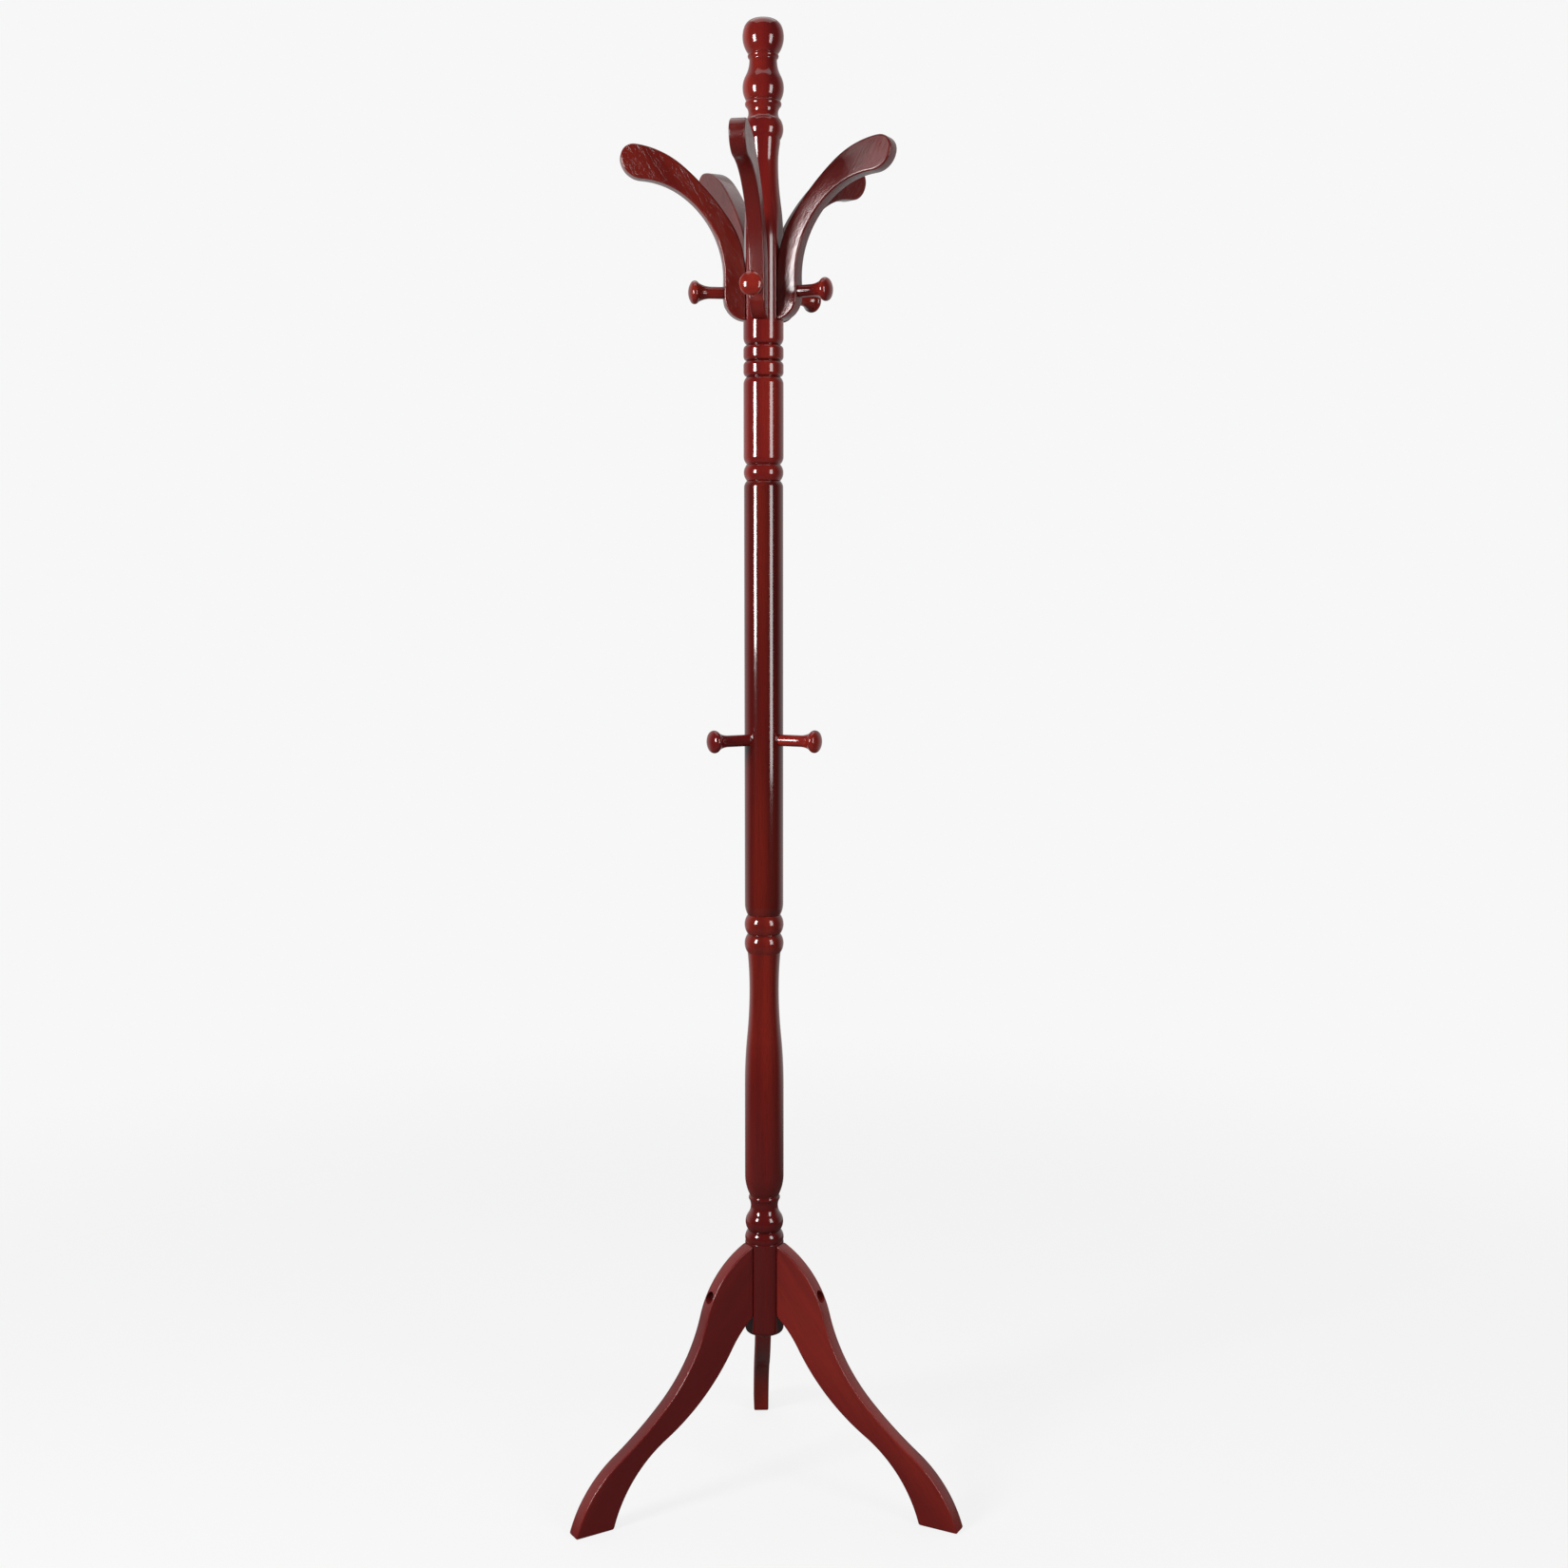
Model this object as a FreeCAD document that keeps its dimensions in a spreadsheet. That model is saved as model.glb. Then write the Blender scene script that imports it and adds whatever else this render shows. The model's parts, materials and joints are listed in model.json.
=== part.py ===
import FreeCAD, Part
import math
import os
import Sketcher

# Standing coat rack: a turned post in three screwed sections with a finial, five curved
# arms and three curved legs bolted to flats on the post, and eight mushroom-headed pegs.
# Millimetres, +Z up. The origin is the post's axis at floor level; one leg points to +Y.

doc = FreeCAD.newDocument("coat_rack")

sizes = {
    # the stack of turned sections, from the floor up
    "foot_clearance": 203.0,
    "lower_length": 538.0,
    "middle_length": 536.0,
    "upper_length": 428.0,
    "finial_length": 118.5,
    # radii shared by the turned sections
    "stock_radius": 24.4,
    "tube_radius": 24.0,
    "groove_radius": 20.4,
    # lower post, heights from its own lower end
    "base_round": 6.0,
    "leg_seat": 119.0,
    "ring_base_radius": 23.4,
    "ring_height": 15.0,
    "ring_bow": 14.0,
    "ball_height": 21.0,
    "ball_bow": 17.5,
    "cove_height": 18.0,
    "cove_bow": 18.0,
    "cove_top_radius": 18.8,
    "band_height": 6.0,
    "band_bow": 4.0,
    "band_top_radius": 18.2,
    "spindle_round": 26.0,
    "waist_fall": 120.0,
    "waist_radius": 18.4,
    "waist_rise": 46.0,
    "waist_end_radius": 20.6,
    "twin_bead_height": 24.0,
    "twin_bead_bow": 20.0,
    # middle post
    "tube_foot_round": 14.0,
    "tube_head_round": 8.0,
    # upper post, heights from its own lower end
    "collar_height": 20.0,
    "collar_bow": 15.0,
    "grip_height": 105.0,
    "grip_round": 9.0,
    "band_bead_height": 18.9,
    "band_bead_flat": 8.0,
    "arm_seat": 191.0,
    "shoulder_height": 283.0,
    "neck_height": 378.0,
    "neck_radius": 18.0,
    "neck_end": 401.0,
    "neck_end_radius": 20.2,
    "capital_step": 4.5,
    "capital_bow": 21.0,
    "seam_radius": 21.4,
    # finial, heights from its own lower end when it is finial_pattern long; they stretch with its length
    "finial_pattern": 118.5,
    "saucer_height": 16.5,
    "saucer_bow": 11.5,
    "lip_height": 6.0,
    "lip_bow": 5.0,
    "vase_shoulder": 51.5,
    "vase_shoulder_radius": 21.3,
    "vase_bow": 28.6,
    "vase_neck": 70.5,
    "vase_neck_radius": 16.6,
    "bead_radius": 17.6,
    "bead_step": 1.5,
    "bead_height": 5.0,
    "bead_bow": 3.4,
    "knob_radius": 24.8,
    "knob_height": 97.0,
    "knob_shoulder_radius": 22.8,
    "knob_shoulder_height": 108.0,
    "knob_crown_radius": 13.0,
    "knob_crown_drop": 1.5,
    # arms, heights from the arm seat, distances from the post's axis, pad width from its surface
    "arm_count": 5,
    "arm_turn": -101.2,
    "arm_thickness": 19.0,
    "arm_reach": 172.0,
    "arm_rise": 203.5,
    "arm_contact": 54.0,
    "arm_pad_width": 24.1,
    "arm_pad_top": 42.0,
    "arm_pad_foot": 27.5,
    "arm_tip_depth": 40.5,
    "arm_tip_drop": 17.5,
    "arm_tip_back": 17.0,
    "arm_tip_under": 25.0,
    "arm_eased": 2.0,
    # legs, heights from the floor, distances from the post's axis
    "leg_count": 3,
    "leg_turn": 90.0,
    "leg_thickness": 20.0,
    "leg_reach": 273.0,
    "leg_sole": 52.0,
    "leg_heel": 26.0,
    "leg_shoulder_bow": 129.0,
    "leg_foot_bow": 165.0,
    "leg_eased": 2.0,
    "leg_gap": 0.5,
    # pegs
    "peg_shank": 7.2,
    "peg_head": 11.5,
    "peg_head_bow": 5.2,
    "peg_head_length": 12.3,
    "peg_dome": 3.5,
    "peg_flare": 15.0,
    "peg_socket": 12.0,
    "arm_peg_height": 33.0,
    "arm_peg_length": 43.0,
    "post_peg_count": 3,
    "post_peg_height": 219.0,
    "post_peg_length": 54.5,
    # hardware
    "fit": 0.1,
    "small_thread": 3.0,
    "arm_stud_length": 52.0,
    "arm_insert_radius": 5.0,
    "arm_insert_length": 12.0,
    "peg_stud_length": 34.0,
    "leg_bolt_height": 59.0,
    "leg_bolt_radius": 4.0,
    "leg_bolt_length": 48.0,
    "bolt_head_radius": 6.5,
    "bolt_head_length": 8.0,
    "hex_key": 6.0,
    "hex_depth": 4.0,
    "washer_radius": 7.0,
    "washer_thickness": 1.6,
    "counterbore_radius": 7.25,
    "leg_grip": 36.0,
    "counterbore_run": 40.0,
    "bolt_clearance": 0.3,
    "leg_insert_radius": 6.0,
    "leg_insert_length": 12.5,
    "arm_dowel_radius": 3.0,
    "leg_dowel_radius": 4.0,
    "dowel_depth": 11.0,
    "dowel_length": 24.0,
    "arm_dowel_low": 14.0,
    "arm_dowel_high": 47.0,
    "leg_dowel_low": 38.0,
    "leg_dowel_high": 97.0,
    "joint_stud_radius": 5.0,
    "joint_stud_length": 60.0,
    "joint_insert_radius": 7.5,
    "joint_insert_length": 25.0,
    "finial_stud_radius": 4.0,
    "finial_stud_length": 46.0,
    "finial_insert_radius": 6.0,
    "finial_insert_length": 18.0,
}

sheet = doc.addObject("Spreadsheet::Sheet", "sizes")
for row, (alias, value) in enumerate(sizes.items(), start=1):
    sheet.set(f"A{row}", alias)
    sheet.set(f"B{row}", str(value))
    sheet.setAlias(f"B{row}", alias)
doc.recompute()


class Size:
    """A number together with the spreadsheet expression that gives it."""

    def __init__(self, value, text):
        self.value = value
        self.text = text

    def join(self, other, sign, value, swapped=False):
        left, right = (other, self) if swapped else (self, other)
        return Size(value, f"({left.text} {sign} {right.text})")

    def __add__(self, other):
        other = size(other)
        return self.join(other, "+", self.value + other.value)

    def __sub__(self, other):
        other = size(other)
        return self.join(other, "-", self.value - other.value)

    def __mul__(self, other):
        other = size(other)
        return self.join(other, "*", self.value * other.value)

    def __rsub__(self, other):
        other = size(other)
        return self.join(other, "-", other.value - self.value, swapped=True)

    def __truediv__(self, other):
        other = size(other)
        return self.join(other, "/", self.value / other.value)

    def __rtruediv__(self, other):
        other = size(other)
        return self.join(other, "/", other.value / self.value, swapped=True)

    __radd__ = __add__
    __rmul__ = __mul__


def size(what):
    """A Size from a spreadsheet alias, a plain number or a Size."""
    if isinstance(what, Size):
        return what
    if isinstance(what, str):
        return Size(float(sizes[what]), f"sizes.{what}")
    return Size(float(what), f"{float(what)}")


def root(inner):
    return Size(math.sqrt(inner.value), f"sqrt({inner.text})")


def tangent_bow(step, rise):
    """Radius of the arc that runs out parallel to the axis after the given step and rise."""
    return (step * step + rise * rise) / (2 * step)


def bind(target, path, what):
    target.setExpression(path, size(what).text)


def origin_feature(body, role):
    for feature in body.Origin.OriginFeatures:
        if feature.Role == role:
            return feature
    raise ValueError(role)


def attach(body, name, role, offset=None):
    """A sketch on one of the body's origin planes, moved along the plane's normal."""
    sketch = body.newObject("Sketcher::SketchObject", name)
    sketch.AttachmentSupport = [(origin_feature(body, role), "")]
    sketch.MapMode = "FlatFace"
    if offset is not None:
        sketch.AttachmentOffset = FreeCAD.Placement(
            FreeCAD.Vector(0, 0, offset.value), FreeCAD.Rotation()
        )
        bind(sketch, "AttachmentOffset.Base.z", offset)
    return sketch


def arc_centre(start, end, radius, turn):
    """Centre of the arc from start to end that turns left (turn = 1) or right (-1)."""
    dx = end[0] - start[0]
    dy = end[1] - start[1]
    chord = math.hypot(dx, dy)
    reach = math.sqrt(max(radius * radius - chord * chord / 4, 0.0))
    middle = ((start[0] + end[0]) / 2, (start[1] + end[1]) / 2)
    return (middle[0] - turn * dy / chord * reach, middle[1] + turn * dx / chord * reach)


class Outline:
    """A closed sketch outline drawn point by point; each point is bound to the sheet."""

    def __init__(self, sketch, across, along):
        self.sketch = sketch
        self.first = (size(across), size(along))
        self.here = self.first
        self.heading = None
        self.last = None
        self.opening = None

    def place(self, index, corner, across, along):
        for kind, what in (("DistanceX", across), ("DistanceY", along)):
            number = self.sketch.addConstraint(
                Sketcher.Constraint(kind, -1, 1, index, corner, what.value)
            )
            bind(self.sketch, f"Constraints[{number}]", what)

    def link(self, index, start, end, tangent):
        if self.last is None:
            self.opening = (index, start)
        else:
            kind = "Tangent" if tangent else "Coincident"
            previous, corner = self.last
            self.sketch.addConstraint(
                Sketcher.Constraint(kind, previous, corner, index, start)
            )
        self.last = (index, end)

    def finish_step(self, index, start, end, across, along, tangent=False):
        self.link(index, start, end, tangent)
        closing = (across.text, along.text) == (self.first[0].text, self.first[1].text)
        if closing:
            self.sketch.addConstraint(
                Sketcher.Constraint("Coincident", index, end, *self.opening)
            )
        self.place(index, end, across, along)
        self.here = (across, along)

    def line(self, across, along):
        across, along = size(across), size(along)
        start = FreeCAD.Vector(self.here[0].value, self.here[1].value, 0)
        end = FreeCAD.Vector(across.value, along.value, 0)
        index = self.sketch.addGeometry(Part.LineSegment(start, end), False)
        self.heading = math.atan2(end.y - start.y, end.x - start.x)
        self.finish_step(index, 1, 2, across, along)

    def add_arc(self, end, centre, turn):
        start = (self.here[0].value, self.here[1].value)
        radius = math.hypot(start[0] - centre[0], start[1] - centre[1])
        opening = math.atan2(start[1] - centre[1], start[0] - centre[0])
        closing = math.atan2(end[1] - centre[1], end[0] - centre[0])
        low, high = (opening, closing) if turn > 0 else (closing, opening)
        circle = Part.Circle(
            FreeCAD.Vector(centre[0], centre[1], 0), FreeCAD.Vector(0, 0, 1), radius
        )
        while high < low:
            high += 2 * math.pi
        index = self.sketch.addGeometry(Part.ArcOfCircle(circle, low, high), False)
        self.heading = closing + turn * math.pi / 2
        return index, (1, 2) if turn > 0 else (2, 1)

    def bow(self, across, along, radius, turn):
        """An arc of a given radius, turning left (1) or right (-1)."""
        across, along, radius = size(across), size(along), size(radius)
        start = (self.here[0].value, self.here[1].value)
        end = (across.value, along.value)
        centre = arc_centre(start, end, radius.value, turn)
        index, (first, second) = self.add_arc(end, centre, turn)
        number = self.sketch.addConstraint(
            Sketcher.Constraint("Radius", index, radius.value)
        )
        bind(self.sketch, f"Constraints[{number}]", radius)
        self.finish_step(index, first, second, across, along)

    def sweep(self, across, along):
        """An arc that leaves the step before it smoothly."""
        across, along = size(across), size(along)
        start = (self.here[0].value, self.here[1].value)
        end = (across.value, along.value)
        dx, dy = end[0] - start[0], end[1] - start[1]
        side = math.cos(self.heading) * dy - math.sin(self.heading) * dx
        radius = (dx * dx + dy * dy) / (2 * side)
        centre = (
            start[0] - math.sin(self.heading) * radius,
            start[1] + math.cos(self.heading) * radius,
        )
        turn = 1 if radius > 0 else -1
        index, (first, second) = self.add_arc(end, centre, turn)
        self.finish_step(index, first, second, across, along, tangent=True)


def revolve(body, sketch, axis="V_Axis"):
    feature = body.newObject("PartDesign::Revolution", "turning")
    feature.Profile = sketch
    feature.ReferenceAxis = (sketch, [axis])
    feature.Angle = 360.0
    return feature


def bore(body, name, role, offset, along, radius, length):
    """A round hole cut back from a plane at the given offset, over the given length."""
    sketch = attach(body, f"{name}_circle", role, size(offset))
    centre = FreeCAD.Vector(0, size(along).value, 0)
    circle = sketch.addGeometry(
        Part.Circle(centre, FreeCAD.Vector(0, 0, 1), size(radius).value), False
    )
    sketch.addConstraint(Sketcher.Constraint("PointOnObject", circle, 3, -2))
    number = sketch.addConstraint(
        Sketcher.Constraint("DistanceY", -1, 1, circle, 3, size(along).value)
    )
    bind(sketch, f"Constraints[{number}]", along)
    number = sketch.addConstraint(Sketcher.Constraint("Radius", circle, size(radius).value))
    bind(sketch, f"Constraints[{number}]", radius)
    pocket = body.newObject("PartDesign::Pocket", name)
    pocket.Profile = sketch
    bind(pocket, "Length", length)
    return pocket


def turn_around(body, name, features, count):
    pattern = body.newObject("PartDesign::PolarPattern", name)
    pattern.Originals = features
    pattern.Axis = (origin_feature(body, "Z_Axis"), [""])
    pattern.Angle = 360.0
    bind(pattern, "Occurrences", count)
    body.Tip = pattern
    return pattern


def new_body(label, lift=None, turn=None):
    """An empty body standing at the given height and turned about the post's axis."""
    body = doc.addObject("PartDesign::Body", label)
    body.Label = label
    body.Placement = FreeCAD.Placement(
        FreeCAD.Vector(0, 0, 0), FreeCAD.Rotation(FreeCAD.Vector(0, 0, 1), 1)
    )
    bind(body, "Placement.Base.z", 0 if lift is None else lift)
    bind(body, "Placement.Rotation.Angle", 0 if turn is None else turn)
    return body


def cut_flat(body, name, distance, low, high):
    """A flat at the given distance from the axis, facing +X."""
    sketch = attach(body, f"{name}_outline", "XZ_Plane")
    outline = Outline(sketch, distance, low)
    beyond = size("stock_radius") + 5
    outline.line(beyond, low)
    outline.line(beyond, high)
    outline.line(distance, high)
    outline.line(distance, low)
    pocket = body.newObject("PartDesign::Pocket", name)
    pocket.Profile = sketch
    pocket.Type = "ThroughAll"
    pocket.Midplane = True
    return pocket


# places that several pieces share
lower_base = size("foot_clearance")
middle_base = lower_base + size("lower_length")
upper_base = middle_base + size("middle_length")
finial_base = upper_base + size("upper_length")
arm_half = size("arm_thickness") / 2
leg_half = size("leg_thickness") / 2
stock = size("stock_radius")
groove = size("groove_radius")
fit = size("fit")
arm_flat = root(stock * stock - arm_half * arm_half)
leg_flat = root(stock * stock - leg_half * leg_half)
arm_pad = stock + size("arm_pad_width")
arm_floor = upper_base + size("arm_seat")
leg_top = lower_base + size("leg_seat") - size("leg_gap")
arm_peg_level = size("arm_seat") + size("arm_peg_height")


def joint_bores(body, length, stud, stud_length, insert, insert_length):
    """Socket for an insert in the top end of a section, with room for the stud's tip."""
    bore(body, "insert_socket", "XY_Plane", length, 0, insert + fit, insert_length)
    half = stud_length / 2
    bore(body, "stud_room", "XY_Plane", length, 0, stud + 2 * fit, half + 2)


def stud_bore(body, stud, stud_length):
    """Blind hole in the lower end of a section, which holds half of the stud."""
    half = stud_length / 2
    bore(body, "stud_hole", "XY_Plane", half, 0, stud + fit, half)


def make_lower_post():
    body = new_body("lower_post", lower_base, size("leg_turn"))
    sketch = attach(body, "profile", "XZ_Plane")
    length = size("lower_length")
    seat = size("leg_seat")
    ring_top = seat + size("ring_height")
    ball_top = ring_top + size("ball_height")
    cove_top = ball_top + size("cove_height")
    band_top = cove_top + size("band_height")
    spindle_low = band_top + size("spindle_round")
    upper_bead = length - size("twin_bead_height")
    lower_bead = upper_bead - size("twin_bead_height")
    waist = lower_bead - size("waist_rise")
    spindle_top = waist - size("waist_fall")
    slope = (size("waist_radius") + stock) / 2
    outline = Outline(sketch, 0, 0)
    outline.line(stock - size("base_round"), 0)
    outline.bow(stock, size("base_round"), "base_round", 1)
    outline.line(stock, seat)
    outline.line("ring_base_radius", seat)
    outline.bow(groove, ring_top, "ring_bow", 1)
    outline.bow(groove, ball_top, "ball_bow", 1)
    outline.bow("cove_top_radius", cove_top, "cove_bow", -1)
    outline.bow("band_top_radius", band_top, "band_bow", 1)
    spindle_bow = tangent_bow(stock - size("band_top_radius"), size("spindle_round"))
    outline.bow(stock, spindle_low, spindle_bow, 1)
    outline.line(stock, spindle_top)
    outline.sweep(slope, spindle_top + size("waist_fall") / 2)
    outline.sweep("waist_radius", waist)
    outline.sweep("waist_end_radius", lower_bead)
    outline.line(groove, lower_bead)
    outline.bow(groove, upper_bead, "twin_bead_bow", 1)
    outline.bow(groove, length, "twin_bead_bow", 1)
    outline.line(0, length)
    outline.line(0, 0)
    revolve(body, sketch)
    joint_bores(
        body, length, size("joint_stud_radius"), size("joint_stud_length"),
        size("joint_insert_radius"), size("joint_insert_length"),
    )
    flat = cut_flat(body, "leg_flat", leg_flat, 0, seat)
    holes = [
        bore(body, "leg_insert_socket", "YZ_Plane", leg_flat, "leg_bolt_height",
             size("leg_insert_radius") + fit, "leg_insert_length"),
    ]
    for place in ("low", "high"):
        holes.append(
            bore(body, f"leg_dowel_hole_{place}", "YZ_Plane", leg_flat,
                 f"leg_dowel_{place}", size("leg_dowel_radius") + fit, "dowel_depth")
        )
    turn_around(body, "around_the_post", [flat] + holes, "leg_count")
    return body


def make_middle_post():
    body = new_body("middle_post", middle_base, size("leg_turn"))
    sketch = attach(body, "profile", "XZ_Plane")
    length = size("middle_length")
    tube = size("tube_radius")
    foot = size("tube_foot_round")
    head = size("tube_head_round")
    outline = Outline(sketch, 0, 0)
    outline.line(groove, 0)
    outline.bow(tube, foot, tangent_bow(tube - groove, foot), 1)
    outline.line(tube, length - head)
    outline.bow(groove, length, tangent_bow(tube - groove, head), 1)
    outline.line(0, length)
    outline.line(0, 0)
    revolve(body, sketch)
    stud_bore(body, size("joint_stud_radius"), size("joint_stud_length"))
    joint_bores(
        body, length, size("joint_stud_radius"), size("joint_stud_length"),
        size("joint_insert_radius"), size("joint_insert_length"),
    )
    socket = size("peg_socket")
    inside = size("peg_stud_length") / 2
    holes = [
        bore(body, "peg_socket", "YZ_Plane", tube + 1, "post_peg_height",
             size("peg_shank") + fit, socket + 1),
        bore(body, "peg_stud_hole", "YZ_Plane", tube - socket + 1, "post_peg_height",
             size("small_thread") + fit, inside - socket / 2 + 1),
    ]
    turn_around(body, "around_the_post", holes, "post_peg_count")
    return body


def make_upper_post():
    body = new_body("upper_post", upper_base, size("arm_turn"))
    sketch = attach(body, "profile", "XZ_Plane")
    length = size("upper_length")
    step = stock - groove
    grip_low = size("collar_height")
    grip_high = grip_low + size("grip_height")
    round_off = size("grip_round")
    round_bow = tangent_bow(step, round_off)
    bead = size("band_bead_height")
    bead_round = (bead - size("band_bead_flat")) / 2
    bead_bow = tangent_bow(step, bead_round)
    column_low = grip_high + 2 * bead
    shoulder = size("shoulder_height")
    neck = size("neck_height")
    capital_low = size("neck_end") + size("capital_step")
    outline = Outline(sketch, 0, 0)
    outline.line(groove, 0)
    outline.bow(groove, grip_low, "collar_bow", 1)
    outline.bow(stock, grip_low + round_off, round_bow, 1)
    outline.line(stock, grip_high - round_off)
    outline.bow(groove, grip_high, round_bow, 1)
    for bead_low in (grip_high, grip_high + bead):
        outline.bow(stock, bead_low + bead_round, bead_bow, 1)
        outline.line(stock, bead_low + bead - bead_round)
        outline.bow(groove, bead_low + bead, bead_bow, 1)
    outline.bow(stock, column_low + round_off, round_bow, 1)
    outline.line(stock, shoulder)
    outline.sweep((stock + size("neck_radius")) / 2, (shoulder + neck) / 2)
    outline.sweep("neck_radius", neck)
    outline.sweep("neck_end_radius", "neck_end")
    outline.line(groove, capital_low)
    outline.bow("seam_radius", length, "capital_bow", 1)
    outline.line(0, length)
    outline.line(0, 0)
    revolve(body, sketch)
    stud_bore(body, size("joint_stud_radius"), size("joint_stud_length"))
    joint_bores(
        body, length, size("finial_stud_radius"), size("finial_stud_length"),
        size("finial_insert_radius"), size("finial_insert_length"),
    )
    seat = size("arm_seat")
    flat = cut_flat(body, "arm_flat", arm_flat, seat, neck)
    holes = [
        bore(body, "arm_insert_socket", "YZ_Plane", arm_flat, arm_peg_level,
             size("arm_insert_radius") + fit, "arm_insert_length"),
    ]
    for place in ("low", "high"):
        holes.append(
            bore(body, f"arm_dowel_hole_{place}", "YZ_Plane", arm_flat,
                 seat + size(f"arm_dowel_{place}"), size("arm_dowel_radius") + fit,
                 "dowel_depth")
        )
    turn_around(body, "around_the_post", [flat] + holes, "arm_count")
    return body


def make_finial():
    body = new_body("finial", finial_base)
    sketch = attach(body, "profile", "XZ_Plane")
    length = size("finial_length")
    stretch = length / size("finial_pattern")
    saucer_top = size("saucer_height") * stretch
    lip_top = saucer_top + size("lip_height") * stretch
    neck = size("vase_neck") * stretch
    bead_low = neck + size("bead_step") * stretch
    bead_top = bead_low + size("bead_height") * stretch
    knob = size("knob_radius")
    knob_level = size("knob_height") * stretch
    knob_bow = tangent_bow(knob - size("bead_radius"), knob_level - bead_top)
    outline = Outline(sketch, 0, 0)
    outline.line("seam_radius", 0)
    outline.bow("seam_radius", saucer_top, "saucer_bow", -1)
    outline.bow(groove, lip_top, "lip_bow", 1)
    outline.bow("vase_shoulder_radius", size("vase_shoulder") * stretch, "vase_bow", 1)
    outline.sweep("vase_neck_radius", neck)
    outline.line("bead_radius", bead_low)
    outline.bow("bead_radius", bead_top, "bead_bow", 1)
    outline.bow(knob, knob_level, knob_bow, 1)
    outline.sweep("knob_shoulder_radius", size("knob_shoulder_height") * stretch)
    drop = size("knob_crown_drop")
    outline.sweep("knob_crown_radius", length - drop)
    outline.bow(0, length, tangent_bow(drop, size("knob_crown_radius")), 1)
    outline.line(0, 0)
    revolve(body, sketch)
    stud_bore(body, size("finial_stud_radius"), size("finial_stud_length"))
    return body


def board(body, sketch, thickness, eased, square_to=0):
    """A board sawn to the outline, its edges eased except where they lie within square_to."""
    pad = body.newObject("PartDesign::Pad", "board")
    pad.Profile = sketch
    pad.Midplane = True
    bind(pad, "Length", thickness)
    doc.recompute()
    rim = []
    for number, edge in enumerate(pad.Shape.Edges, start=1):
        box = edge.BoundBox
        if box.YLength < 0.01 and box.XMax > square_to + 0.01:
            rim.append(f"Edge{number}")
    fillet = body.newObject("PartDesign::Fillet", "eased_edges")
    fillet.Base = (pad, rim)
    bind(fillet, "Radius", eased)


def dowel_holes(body, flat, levels, radius):
    depth = size("dowel_length") - size("dowel_depth") + 0.5
    for number, level in enumerate(levels, start=1):
        bore(body, f"dowel_hole_{number}", "YZ_Plane", flat + depth, level, radius + fit,
             depth + 1)


def make_arm(number):
    angle = size("arm_turn") + (number - 1) * 360 / size("arm_count")
    body = new_body(f"arm_{number}", arm_floor, angle)
    sketch = attach(body, "outline", "XZ_Plane")
    reach = size("arm_reach")
    rise = size("arm_rise")
    run = reach - arm_flat
    outline = Outline(sketch, arm_flat, 0)
    outline.line(arm_flat, "arm_contact")
    outline.sweep(arm_flat + 0.137 * run, 0.59 * rise)
    outline.sweep(arm_flat + 0.507 * run, 0.885 * rise)
    outline.sweep(reach - size("arm_tip_back"), rise)
    outline.sweep(reach, rise - size("arm_tip_drop"))
    outline.sweep(reach - size("arm_tip_under"), rise - size("arm_tip_depth"))
    outline.sweep(arm_flat + 0.511 * run, 0.722 * rise)
    outline.sweep(arm_pad, "arm_pad_top")
    outline.line(arm_pad, "arm_pad_foot")
    outline.sweep(arm_flat, 0)
    board(body, sketch, "arm_thickness", "arm_eased")
    bore(body, "peg_stud_hole", "YZ_Plane", arm_pad + 1, "arm_peg_height",
         size("small_thread") + size("bolt_clearance"), arm_pad - arm_flat + 2)
    dowel_holes(body, arm_flat, ("arm_dowel_low", "arm_dowel_high"),
                size("arm_dowel_radius"))
    return body


def make_leg(number):
    angle = size("leg_turn") + (number - 1) * 360 / size("leg_count")
    body = new_body(f"leg_{number}", 0, angle)
    sketch = attach(body, "outline", "XZ_Plane")
    reach = size("leg_reach")
    run = reach - leg_flat
    heel = lower_base + size("leg_heel")
    outline = Outline(sketch, leg_flat, heel)
    outline.line(leg_flat, leg_top)
    outline.bow(leg_flat + 0.266 * run, 0.743 * leg_top, "leg_shoulder_bow", -1)
    outline.sweep(leg_flat + 0.501 * run, 0.426 * leg_top)
    outline.sweep(leg_flat + 0.757 * run, 0.261 * leg_top)
    outline.sweep(reach, 0)
    outline.line(reach - size("leg_sole"), 0)
    outline.bow(leg_flat + 0.497 * run, 0.302 * leg_top, "leg_foot_bow", 1)
    outline.sweep(leg_flat + 0.1225 * run, 0.597 * leg_top)
    outline.sweep(leg_flat, heel)
    board(body, sketch, "leg_thickness", "leg_eased", leg_flat.value)
    level = lower_base + size("leg_bolt_height")
    floor = leg_flat + size("leg_grip")
    beyond = size("counterbore_run")
    bore(body, "counterbore", "YZ_Plane", floor + beyond, level, "counterbore_radius", beyond)
    bore(body, "bolt_hole", "YZ_Plane", floor + 1, level,
         size("leg_bolt_radius") + size("bolt_clearance"), size("leg_grip") + 2)
    levels = [lower_base + size(f"leg_dowel_{place}") for place in ("low", "high")]
    dowel_holes(body, leg_flat, levels, size("leg_dowel_radius"))
    return body


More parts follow.
